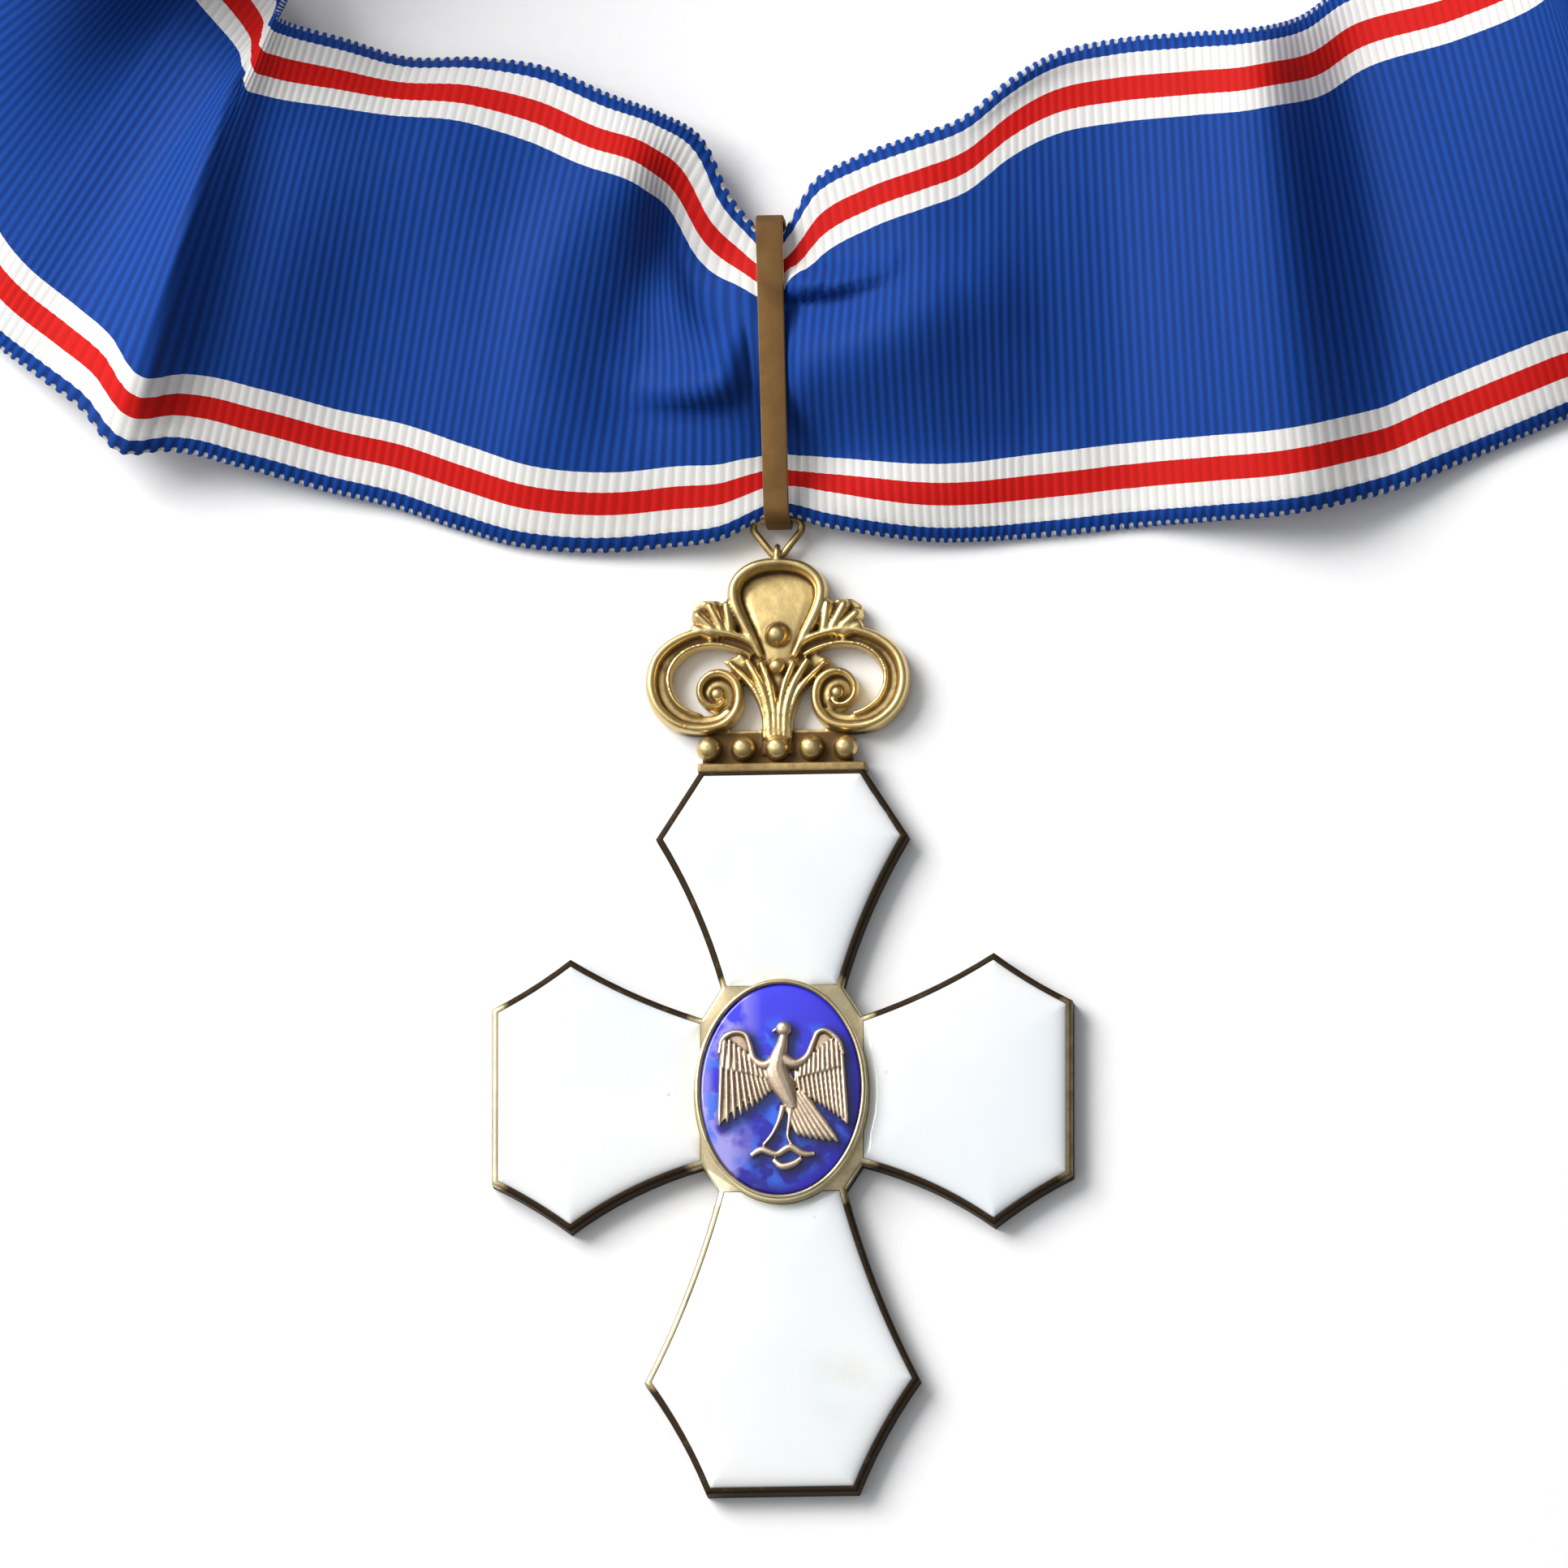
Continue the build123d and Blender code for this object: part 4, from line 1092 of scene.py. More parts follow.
# %% Blue enamel
blue_enamel, blue_tree, blue_shader = new_material("blue enamel")
blue_specks = use_group(
    blue_tree,
    speck_group,
    {
        "Glass": (0.012, 0.009, 0.25, 1),
        "Tint": (0.024, 0.020, 0.42, 1),
        "Speck": (0.02, 0.01, 0.25, 1),
        "Cloud Scale": 160.0,
    },
)
blue_place = node(blue_tree, "ShaderNodeTexCoord").outputs["Object"]
blue_xy = node(blue_tree, "ShaderNodeSeparateXYZ", {0: blue_place}).outputs
lit_blue = (0.045, 0.045, 0.80, 1)
violet = (0.38, 0.34, 0.78, 1)
azure = (0.035, 0.14, 0.78, 1)
navy = (0.005, 0.005, 0.08, 1)
# Painted light: violet clouds on the left side, towards the lamp, and a violet strip at the left rim.
glow_inputs = {"Vector": blue_place, "Scale": 260.0, "Detail": 3.0}
glow_noise = node(blue_tree, "ShaderNodeTexNoise", glow_inputs).outputs[0]
glow_patches = remap(blue_tree, glow_noise, 0.47, 0.56, 0.0, 0.9)
left_side = remap(blue_tree, blue_xy[0], -1.6 * mm, -4.6 * mm)
left_rim_light = remap(blue_tree, blue_xy[0], -5.9 * mm, -6.5 * mm, 0.0, 0.55)
painted_violet_light = calc(blue_tree, "MAXIMUM", calc(blue_tree, "MULTIPLY", left_side, glow_patches), left_rim_light)
# Painted light: the blue is lighter towards the upper left, where the lamp is.
upwards = calc(blue_tree, "MULTIPLY", blue_xy[1], 0.8)
to_left = calc(blue_tree, "MULTIPLY", blue_xy[0], 0.6)
lit_upper_left_part = remap(blue_tree, calc(blue_tree, "SUBTRACT", upwards, to_left), -5.0 * mm, 8.0 * mm)
blue_glass = blend(blue_tree, lit_upper_left_part, blue_specks["Color"], lit_blue)
with_violet_light = blend(blue_tree, painted_violet_light, blue_glass, violet)
bird_light = node(blue_tree, "ShaderNodeAttribute", attribute_name="bird_light").outputs["Fac"]
azure_inputs = {"Vector": blue_place, "Scale": 520.0, "Detail": 2.0}
azure_noise = node(blue_tree, "ShaderNodeTexNoise", azure_inputs).outputs[0]
azure_part = calc(blue_tree, "MULTIPLY", bird_light, remap(blue_tree, azure_noise, 0.47, 0.54))
shining = blend(blue_tree, azure_part, with_violet_light, azure)
bird_shade = node(blue_tree, "ShaderNodeAttribute", attribute_name="bird_shade").outputs["Fac"]
shaded_blue = blend(blue_tree, bird_shade, shining, navy)
blue_tree.links.new(shaded_blue, blue_shader.inputs["Base Color"])
blue_tree.links.new(blue_specks["Roughness"], blue_shader.inputs["Roughness"])
blue_shader.inputs["IOR"].default_value = 1.5
blue_shader.inputs["Coat Weight"].default_value = 0.4
blue_shader.inputs["Coat Roughness"].default_value = 0.03
blue_bump_inputs = {"Height": blue_specks["Height"], "Strength": 0.5, "Distance": 0.15 * mm}
blue_bump = node(blue_tree, "ShaderNodeBump", blue_bump_inputs)
blue_tree.links.new(blue_bump.outputs["Normal"], blue_shader.inputs["Normal"])
rim_overlap = 0.08
glass_inset = oval_half_x - (glass_high.x - glass_low.x) / 2 - rim_overlap
glass_bottom = glass_low.z + 0.01
glass_run = oval_half_x - glass_inset - 0.3
dome_rise = 0.14
edge_drop = 0.10
glass_steps = 16
glass_rows = [(0, glass_bottom), (glass_inset, glass_bottom)]
for step in range(glass_steps + 1):
    inward = step / glass_steps
    height = glass_high.z - dome_rise * (1 - inward) ** 2 - edge_drop * (1 - inward) ** 16
    glass_rows.append((glass_inset + inward * glass_run, height))
glass_rows.append((0, glass_high.z))
glass = oval_rings("medallion_glass", glass_rows)
dress(glass, blue_enamel, "medallion_enamel")

# %% [markdown]
# ## Cast relief
# The crest and the bird are castings: soft ridges that flow into each other. They are
# laid out as strokes, like drawing with a soft brush. Each row of a stroke is a place,
# half its width and the height of its top. All strokes of a casting are then fused
# into one skin on a fine grid and smoothed a little, as metal flows in a mould.

# %% Strokes
stroke_sides = 9
ball_levels = 10
ball_sides = 16


def smooth_rows(rows, steps):
    """Extra rows between the given ones, on a smooth curve through them."""
    rows = np.array(rows, float)
    padded = np.vstack([2 * rows[0] - rows[1], rows, 2 * rows[-1] - rows[-2]])
    out = []
    for i in range(1, len(padded) - 2):
        a, b, c, d = padded[i - 1 : i + 3]
        for step in range(steps):
            t = step / steps
            squared = (2 * a - 5 * b + 4 * c - d) * t**2
            cubed = (3 * b - a - 3 * c + d) * t**3
            out.append(0.5 * (2 * b + (c - a) * t + squared + cubed))
    out.append(rows[-1])
    return np.array(out)


def stroke(rows, bottom, steps=6, flatness=0.75):
    """A ridge with a flat underside along (x, y, half_width, top) rows."""
    line = smooth_rows(rows, steps)
    ahead = np.gradient(line[:, :2], axis=0)
    ahead /= np.linalg.norm(ahead, axis=1, keepdims=True)
    sideways = np.stack([-ahead[:, 1], ahead[:, 0]], axis=1)
    arc = np.linspace(0, math.pi, stroke_sides)
    out = np.sign(np.cos(arc)) * np.abs(np.cos(arc)) ** flatness
    up = np.sin(arc) ** flatness
    points, faces = [], []
    for (x, y, half_width, top), side in zip(line, sideways):
        for o, u in zip(out, up):
            reach = o * half_width
            points.append((x + side[0] * reach, y + side[1] * reach, bottom + u * (top - bottom)))
    size = len(arc)
    for i in range(len(line) - 1):
        for j in range(size):
            k = (j + 1) % size
            faces.append((i * size + j, i * size + k, (i + 1) * size + k, (i + 1) * size + j))
    faces.append(tuple(range(size))[::-1])
    faces.append(tuple((len(line) - 1) * size + j for j in range(size)))
    return points, faces


def ball(x, y, z, radius, squash=1.0):
    """A round boss."""
    points, faces = [], []
    for i in range(1, ball_levels):
        for j in range(ball_sides):
            up, turn = math.pi * i / ball_levels, 2 * math.pi * j / ball_sides
            ball_x = x + radius * math.sin(up) * math.cos(turn)
            ball_y = y + radius * math.sin(up) * math.sin(turn)
            points.append((ball_x, ball_y, z + radius * squash * math.cos(up)))
    for i in range(ball_levels - 2):
        for j in range(ball_sides):
            a, b = i * ball_sides + j, i * ball_sides + (j + 1) % ball_sides
            faces.append((a, a + ball_sides, b + ball_sides, b))
    faces.append(tuple(range(ball_sides)))
    faces.append(tuple(range(len(points) - ball_sides, len(points)))[::-1])
    return points, faces


def slab(corners, bottom, top):
    """A plate with this outline, its corners in order."""
    count = len(corners)
    points = [(x, y, bottom) for x, y in corners] + [(x, y, top) for x, y in corners]
    faces = [tuple(range(count))[::-1], tuple(range(count, 2 * count))]
    for i in range(count):
        k = (i + 1) % count
        faces.append((i, k, count + k, count + i))
    return points, faces


def moved(shape, dx=0.0, mirror=False):
    """The shape moved sideways, or mirrored first."""
    points, faces = shape
    if mirror:
        return [(dx - x, y, z) for x, y, z in points], [face[::-1] for face in faces]
    return [(x + dx, y, z) for x, y, z in points], faces


def cast(name, shapes, voxel, smoothing):
    """Fuses shapes into one smooth skin on a grid of this size in millimetres."""
    points, faces = [], []
    for shape_points, shape_faces in shapes:
        start = len(points)
        points += list(shape_points)
        faces += [tuple(start + v for v in face) for face in shape_faces]
    rough = make_object(name, points, faces)
    fuse = rough.modifiers.new("fuse", "REMESH")
    fuse.mode = "VOXEL"
    fuse.voxel_size = voxel * mm
    fuse.use_smooth_shade = True
    soften = rough.modifiers.new("soften", "SMOOTH")
    soften.factor = 0.5
    soften.iterations = smoothing
    return baked(rough, name)


print("strokes ready")

# %% [markdown]
# ### Rows of blades, with Geometry Nodes
# Feathers, leaf lobes and beads are the same small shape repeated along a line. The tree
# puts copies of the object's own mesh on a line from a start to an end point, turns them
# from one angle to another and stretches them from one length to another.

# %% Row tree
row_tree, row_in, row_out = new_shape_tree(
    "row of blades",
    {
        "Count": ("Int", 5),
        "Start": ("Vector", (0, 0, 0)),
        "End": ("Vector", (0, 0, 0)),
        "Start Angle": ("Float", 0.0),
        "End Angle": ("Float", 0.0),
        "Start Length": ("Float", 1.0),
        "End Length": ("Float", 1.0),
        "Bulge": ("Float", 0.0),
        "Width": ("Float", 1.0),
        "Height": ("Float", 1.0),
        "Material": ("Material", None),
    },
)
row_points = node(
    row_tree,
    "GeometryNodeMeshLine",
    {"Count": row_in["Count"], "Start Location": row_in["Start"], "Offset": row_in["End"]},
    mode="END_POINTS",
)
order = node(row_tree, "GeometryNodeInputIndex").outputs[0]
last = calc(row_tree, "MAXIMUM", calc(row_tree, "SUBTRACT", row_in["Count"], 1.0), 1.0)
along_row = calc(row_tree, "DIVIDE", order, last)
angle = remap(row_tree, along_row, 0.0, 1.0, row_in["Start Angle"], row_in["End Angle"])
length = remap(row_tree, along_row, 0.0, 1.0, row_in["Start Length"], row_in["End Length"])
arch = calc(row_tree, "SINE", calc(row_tree, "MULTIPLY", along_row, math.pi))
swell = calc(row_tree, "MULTIPLY", arch, row_in["Bulge"])
full_length = calc(row_tree, "ADD", length, swell)
turned = node(row_tree, "ShaderNodeCombineXYZ", {"Z": angle})
size_inputs = {"X": row_in["Width"], "Y": full_length, "Z": row_in["Height"]}
sized = node(row_tree, "ShaderNodeCombineXYZ", size_inputs)
copies = node(
    row_tree,
    "GeometryNodeInstanceOnPoints",
    {
        "Points": row_points.outputs[0],
        "Instance": row_in["Geometry"],
        "Rotation": turned.outputs[0],
        "Scale": sized.outputs[0],
    },
)
end_tree(row_tree, copies.outputs[0], row_in["Material"], row_out["Geometry"])


def blade_row(shape, count, start, end, angles, lengths, width, height, material, bulge=0.0):
    """Copies of a unit shape along a line. Angles are in degrees, anticlockwise from +Y."""
    base = make_object("blade", *shape)
    made = run_tree(
        base,
        row_tree,
        {
            "Count": count,
            "Start": tuple(c * mm for c in start),
            "End": tuple(c * mm for c in end),
            "Start Angle": math.radians(angles[0]),
            "End Angle": math.radians(angles[1]),
            "Start Length": lengths[0],
            "End Length": lengths[1],
            "Bulge": bulge,
            "Width": width,
            "Height": height,
            "Material": material,
        },
        "blades",
    )
    points = point_array(made.data) / mm
    faces = [tuple(face.vertices) for face in made.data.polygons]
    bpy.data.objects.remove(made)
    return [tuple(p) for p in points], faces


feather_rows = [
    # (x, y, half_width, top)
    (0.0, -0.02, 0.40, 0.85),
    (0.0, 0.20, 0.50, 1.0),
    (0.0, 0.80, 0.52, 1.0),
    (0.0, 0.93, 0.40, 0.9),
    (0.0, 1.0, 0.14, 0.6),
]
feather = stroke(feather_rows, 0.0, steps=4, flatness=0.9)
print("row tree:", row_tree.name)

# %% [markdown]
# ## The crest
# Two volutes roll outwards from a pear-shaped loop, with a fluted calyx between them, a
# small leaf on each side and a row of beads on a bar below. Everything is symmetric, so
# each stroke is given for the right half and mirrored about the crest's centre line. The
# low ground round the beads and the bar below them are painted darker by height: painted
# shade under the beads.

# %% Crest strokes
crest_x = -0.45
crest_back = 0.3
volute_band = [
    # (x, y, half_width, top)
    (1.9, 39.9, 0.40, 1.6),
    (3.0, 40.6, 0.55, 1.6),
    (4.6, 41.0, 0.65, 1.6),
    (6.4, 41.1, 0.75, 1.6),
    (8.5, 40.45, 0.95, 1.6),
    (10.1, 39.0, 1.15, 1.6),
    (10.55, 37.2, 1.20, 1.6),
    (10.0, 35.4, 1.15, 1.6),
    (8.7, 34.1, 0.95, 1.6),
    (6.9, 33.55, 0.75, 1.6),
    (5.2, 33.8, 0.60, 1.6),
    (4.2, 34.6, 0.50, 1.6),
]
outer_ridge = [
    # (x, y, half_width, top)
    (1.6, 39.9, 0.30, 2.2),
    (2.5, 40.8, 0.38, 2.4),
    (4.0, 41.4, 0.42, 2.45),
    (6.3, 41.75, 0.45, 2.5),
    (8.8, 41.05, 0.50, 2.5),
    (10.65, 39.45, 0.54, 2.5),
    (11.25, 37.2, 0.56, 2.5),
    (10.65, 35.0, 0.54, 2.5),
    (9.0, 33.45, 0.52, 2.45),
    (6.9, 32.95, 0.50, 2.4),
    (4.9, 33.3, 0.50, 2.4),
    (3.75, 34.4, 0.50, 2.4),
    (3.4, 35.8, 0.48, 2.4),
    (3.75, 37.15, 0.46, 2.4),
    (4.8, 37.95, 0.44, 2.35),
    (6.0, 37.85, 0.40, 2.3),
    (6.85, 36.95, 0.36, 2.25),
    (6.85, 35.85, 0.34, 2.15),
    (6.1, 35.1, 0.30, 2.05),
    (5.25, 35.1, 0.26, 1.95),
    (4.75, 35.6, 0.20, 1.8),
]
inner_ridge = [
    # (x, y, half_width, top)
    (2.3, 39.5, 0.22, 2.0),
    (3.5, 40.1, 0.26, 2.15),
    (5.4, 40.55, 0.28, 2.2),
    (7.4, 40.35, 0.30, 2.2),
    (8.8, 39.5, 0.32, 2.2),
    (9.6, 38.2, 0.34, 2.2),
    (9.65, 36.8, 0.34, 2.2),
    (9.0, 35.4, 0.32, 2.15),
    (7.8, 34.5, 0.30, 2.1),
    (6.8, 34.15, 0.26, 1.95),
]
pear_wire = [
    # (x, y, half_width, top)
    (-0.3, 47.85, 0.58, 2.45),
    (0.9, 47.8, 0.58, 2.45),
    (2.1, 47.5, 0.58, 2.5),
    (3.15, 46.85, 0.58, 2.5),
    (3.8, 45.9, 0.60, 2.5),
    (3.9, 44.8, 0.62, 2.5),
    (3.55, 43.6, 0.62, 2.5),
    (2.9, 42.2, 0.60, 2.45),
    (2.15, 40.8, 0.48, 2.4),
    (1.45, 39.3, 0.32, 2.2),
]
calyx_plate = [
    (0, 31.5), (1.35, 31.5), (1.35, 34.1), (1.8, 35.4), (2.6, 36.7), (3.7, 38.0), (4.9, 39.1),
    (3.6, 39.6), (0, 39.7),
]
calyx_flutes = [
    [
        (0.20, 32.0, 0.34, 1.9), (0.25, 34.5, 0.36, 2.1), (0.65, 36.8, 0.42, 2.25),
        (1.45, 38.9, 0.34, 2.1),
    ],
    [
        (0.65, 32.0, 0.34, 1.9), (0.80, 34.6, 0.38, 2.15), (1.50, 36.9, 0.46, 2.3),
        (2.75, 39.15, 0.36, 2.1),
    ],
    [
        (1.10, 32.0, 0.30, 1.8), (1.20, 34.2, 0.32, 2.0), (2.10, 36.55, 0.40, 2.2),
        (4.3, 38.95, 0.24, 1.9),
    ],
]
leaf_plate = [
    (3.6, 41.3), (4.3, 43.6), (5.3, 44.6), (6.6, 44.6), (7.5, 44.0), (7.7, 43.0), (7.2, 42.0),
    (6.0, 41.6),
]
stem_bottom = [(0.0, 30.6, 1.9, 1.6), (0.0, 32.4, 1.5, 1.75), (0.0, 34.0, 1.0, 1.9)]
dish_floor = [
    (0.0, 47.8, 1.8, 0.55),
    (0.0, 46.9, 2.9, 0.60),
    (0.0, 45.8, 3.4, 0.75),
    (0.0, 44.6, 3.4, 0.95),
    (0.0, 43.2, 3.0, 1.25),
    (0.0, 41.6, 2.3, 1.45),
    (0.0, 40.2, 1.7, 1.5),
    (0.0, 39.2, 1.2, 1.5),
]
bead_plate = [(-6.7, 29.3), (6.7, 29.3), (6.7, 31.6), (5.8, 32.9), (-5.8, 32.9), (-6.7, 31.6)]
base_bar = [(-7.5, 28.95), (7.5, 28.95), (7.5, 29.75), (-7.5, 29.75)]
leaf_top, calyx_top, bead_plate_top, base_bar_top = 1.5, 1.35, 1.1, 2.25
side_bosses = [
    # (x, y, z, radius, squash)
    (5.3, 36.1, 1.0, 1.75, 0.28),
    (5.35, 36.1, 1.6, 0.62, 0.9),
]
middle_bosses = [
    # (x, y, z, radius, squash)
    (0.0, 41.4, 1.55, 1.05, 1.0),
    (0.0, 38.5, 2.0, 0.72, 1.0),
]
leaf_lobes = {
    "count": 4,
    "start": (4.1, 41.3, 0.3),
    "end": (5.6, 41.3, 0.3),
    "angles": (-8, -66),
    "lengths": (3.3, 2.3),
    "width": 1.35,
    "height": 2.15,
    "bulge": 0.7,
}
bead_row = {
    "count": 5,
    "start": (-6.1, 31.15, 1.6),
    "end": (6.1, 31.15, 1.6),
    "angles": (0, 0),
    "lengths": (1, 1),
    "width": 1.0,
    "height": 1.0,
}
print(len(outer_ridge), "rows in the outer ridge")

# %% Crest casting
crest_shapes = []
for side in (False, True):
    side_shapes = [stroke(volute_band, crest_back, flatness=0.45)]
    for rows in (outer_ridge, inner_ridge, pear_wire, *calyx_flutes):
        side_shapes.append(stroke(rows, crest_back, flatness=0.7))
    side_shapes += [ball(*boss) for boss in side_bosses]
    side_shapes.append(blade_row(feather, material=gilt, **leaf_lobes))
    side_shapes.append(slab(leaf_plate, crest_back, leaf_top))
    side_shapes.append(slab(calyx_plate, crest_back, calyx_top))
    crest_shapes += [moved(shape, crest_x, mirror=side) for shape in side_shapes]
middle_shapes = [stroke(stem_bottom, crest_back), stroke(dish_floor, crest_back, flatness=0.4)]
middle_shapes += [ball(*boss) for boss in middle_bosses]
middle_shapes.append(blade_row(ball(0.0, 0.0, 0.0, 1.12), material=gilt, **bead_row))
middle_shapes.append(slab(bead_plate, crest_back, bead_plate_top))
crest_shapes += [moved(shape, crest_x) for shape in middle_shapes]
crest_shapes.append(slab(base_bar, crest_back, base_bar_top))


def eyelet(x, y, z, radius, wire):
    """A small upright ring, seen from its edge here."""
    steps, sides = 20, 10
    points, faces = [], []
    for i in range(steps):
        turn = 2 * math.pi * i / steps
        for j in range(sides):
            wire_turn = 2 * math.pi * j / sides
            out = radius + wire * math.cos(wire_turn)
            ring_x = x + wire * math.sin(wire_turn)
            points.append((ring_x, y + out * math.cos(turn), z + out * math.sin(turn)))
    for i in range(steps):
        for j in range(sides):
            k, m = (i + 1) % steps, (j + 1) % sides
            faces.append((i * sides + j, i * sides + m, k * sides + m, k * sides + j))
    return points, faces


crest_shapes.append(eyelet(crest_x, 48.6, 1.3, 0.8, 0.3))
crest = cast("crest", crest_shapes, 0.115, 5)
mark_recesses(crest, 14, 0.11)
crest_points = point_array(crest.data) / mm
# Painted shade: the low ground by the beads and the bar under them are marked darker.
by_beads = np.clip((32.9 - crest_points[:, 1]) / 0.4, 0, 1)
shade_under_beads = by_beads * np.clip((1.7 - crest_points[:, 2]) / 0.4, 0, 0.9)
shade_on_bar = np.clip((29.85 - crest_points[:, 1]) / 0.1, 0, 0.5)
darken(crest, np.maximum(shade_under_beads, shade_on_bar))
dress(crest, gilt, "cross_frame")

# %% [markdown]
# ## The bird
# A small cast bird with displayed wings sits on the blue enamel. Rows of long blades make
# its flight feathers, shorter ones its coverts, and a fan its tail. It is a plain
# heraldic bird of this maker's own drawing. The enamel is darker beside it on the
# side away from the light and brighter on the other, where light comes back through the
# glass, so each point of the glass gets its nearness to the bird, moved to each side.

# %% Bird
bird_sink = 0.05
bird_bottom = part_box("heraldic_bird")[0].z / mm - bird_sink
bird_strokes = [
    [
        (0.35, 4.9, 0.45, 0.62), (0.2, 4.0, 0.55, 0.68), (-0.1, 2.9, 0.8, 0.76),
        (-0.25, 1.6, 1.15, 0.82), (0.25, 0.3, 1.1, 0.78), (0.8, -0.9, 0.8, 0.68),
        (1.2, -1.8, 0.5, 0.55),
    ],
    [
        (-0.1, 2.7, 0.7, 0.72), (-1.3, 2.1, 0.55, 0.7), (-2.3, 2.7, 0.36, 0.6),
        (-2.7, 4.0, 0.28, 0.56), (-3.1, 4.9, 0.28, 0.56), (-4.1, 5.1, 0.28, 0.54),
        (-5.1, 4.5, 0.26, 0.5), (-5.4, 3.2, 0.22, 0.45),
    ],
    [
        (0.3, 2.6, 0.7, 0.72), (1.4, 2.2, 0.55, 0.7), (2.4, 2.8, 0.36, 0.6),
        (2.95, 4.1, 0.28, 0.56), (3.4, 5.0, 0.28, 0.56), (4.2, 5.1, 0.28, 0.54),
        (5.2, 4.2, 0.26, 0.5), (5.6, 3.0, 0.22, 0.45),
    ],
    [
        (0.3, -1.6, 0.34, 0.55), (-0.1, -2.9, 0.22, 0.5), (-0.7, -4.1, 0.17, 0.4),
        (-1.5, -5.1, 0.15, 0.35),
    ],
    [(1.0, -1.8, 0.32, 0.5), (0.8, -3.2, 0.2, 0.45), (0.7, -4.4, 0.16, 0.35), (1.2, -5.3, 0.15, 0.35)],
    [
        (-2.6, -6.0, 0.24, 0.3), (-1.6, -5.5, 0.36, 0.42), (-0.3, -5.9, 0.32, 0.4),
        (0.9, -5.3, 0.36, 0.42), (2.1, -5.9, 0.32, 0.4), (3.1, -5.9, 0.2, 0.3),
    ],
    [(-0.6, -6.4, 0.24, 0.3), (0.2, -7.0, 0.36, 0.4), (1.2, -6.8, 0.34, 0.4), (1.9, -6.3, 0.22, 0.3)],
    [(0.2, 5.45, 0.35, 0.5), (-0.4, 5.3, 0.2, 0.4), (-0.7, 5.1, 0.08, 0.3)],
]
wing_plates = [
    [
        (-0.6, 0.1), (-2.7, -0.6), (-4.3, -2.0), (-5.4, -3.2), (-5.45, 2.0), (-5.2, 4.7),
        (-4.1, 5.2), (-2.9, 5.0), (-2.5, 2.9), (-1.2, 2.3),
    ],
    [
        (1.3, 0.1), (1.3, 2.5), (2.7, 3.1), (3.0, 5.0), (3.7, 5.4), (4.3, 5.2), (5.3, 4.0),
        (5.8, 0.9), (5.85, -3.2), (4.9, -2.0), (3.9, -1.3), (2.1, -0.3),
    ],
]
bird_shapes = []
for rows in bird_strokes:
    lifted = [(x, y, w, bird_bottom + bird_sink + top) for x, y, w, top in rows]
    bird_shapes.append(stroke(lifted, bird_bottom, flatness=0.85))
bird_shapes.append(ball(0.35, 5.35, bird_bottom + 0.35, 0.72, 0.7))
plate_thickness = 0.32
for plate in wing_plates:
    bird_shapes.append(slab(plate, bird_bottom, bird_bottom + plate_thickness))
plumage = [
    # (count, start, end, angles, lengths, width, height)
    (11, (-5.15, 3.8), (-1.2, 1.4), (178, 202), (7.1, 1.6), 0.44, 0.46),
    (9, (-4.9, 4.7), (-1.5, 2.1), (176, 198), (3.0, 1.4), 0.46, 0.56),
    (11, (5.45, 3.7), (1.5, 1.4), (184, 190), (7.0, 1.9), 0.44, 0.46),
    (9, (5.0, 4.6), (1.9, 2.3), (184, 176), (3.0, 1.4), 0.46, 0.56),
    (7, (0.2, -0.6), (1.9, -0.3), (202, 215), (4.0, 5.6), 0.62, 0.5),
]
for count, start, end, *measures in plumage:
    low, high = (*start, bird_bottom), (*end, bird_bottom)
    bird_shapes.append(blade_row(feather, count, low, high, *measures, material=rose_gilt))
bird = cast("bird", bird_shapes, 0.065, 1)
mark_recesses(bird, 8, 0.05)
dress(bird, rose_gilt, "heraldic_bird")

# %% Enamel beside the bird
enamel_sides = [
    # (attribute, shift to the side, reach, amount)
    ("bird_shade", (0.40, -0.40), 0.75, 0.85),
    ("bird_light", (-0.60, -0.60), 1.25, 0.95),
]
bird_points = point_array(bird.data) / mm
bird_map = KDTree(len(bird_points))
for number, (x, y, z) in enumerate(bird_points):
    bird_map.insert((x, y, 0), number)
bird_map.balance()
for attribute_name, (shift_x, shift_y), reach, amount in enamel_sides:
    places = [(x - shift_x, y - shift_y, 0) for x, y, z in point_array(glass.data) / mm]
    away = np.array([bird_map.find(place)[2] for place in places])
    beside = glass.data.attributes.new(attribute_name, "FLOAT", "POINT")
    beside.data.foreach_set("value", (amount * np.clip(1 - away / reach, 0, 1)).astype(np.float32))
    print(attribute_name, "on", int((away < reach).sum()), "points of the enamel")

# %% [markdown]
# ## Link, strip loop and clasp
# The link is a bent wire with its point in the crest's eyelet. The strip loop is a flat
# brass strip bent round the ribbon; its broad face shows, its corners are soft and it
# narrows a little downwards. The clasp at the back is plain and keeps its solid.

# %% Link
link_low, link_high = (Vector(c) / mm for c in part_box("link_ring"))
wire_radius = (link_high.z - link_low.z) / 2
link_middle_z = (link_high.z + link_low.z) / 2
link_bend = 0.75
link_dip = 0.45


def wire_ring(name, path, radius, sides=12):
    """A closed round wire through these points, in millimetres."""
    path = np.array(path)
    ahead = np.roll(path, -1, axis=0) - np.roll(path, 1, axis=0)
    ahead /= np.linalg.norm(ahead, axis=1, keepdims=True)
    points, faces = [], []
    for point, direction in zip(path, ahead):
        sideways = np.cross(direction, (0, 0, 1))
        for j in range(sides):
            turn = 2 * math.pi * j / sides
            out = sideways * math.cos(turn) + np.array((0, 0, math.sin(turn)))
            points.append(tuple(point + radius * out))
    count = len(path)
    for i in range(count):
        for j in range(sides):
            k, m = (i + 1) % count, (j + 1) % sides
            faces.append((i * sides + j, i * sides + m, k * sides + m, k * sides + j))
    return make_object(name, points, faces)


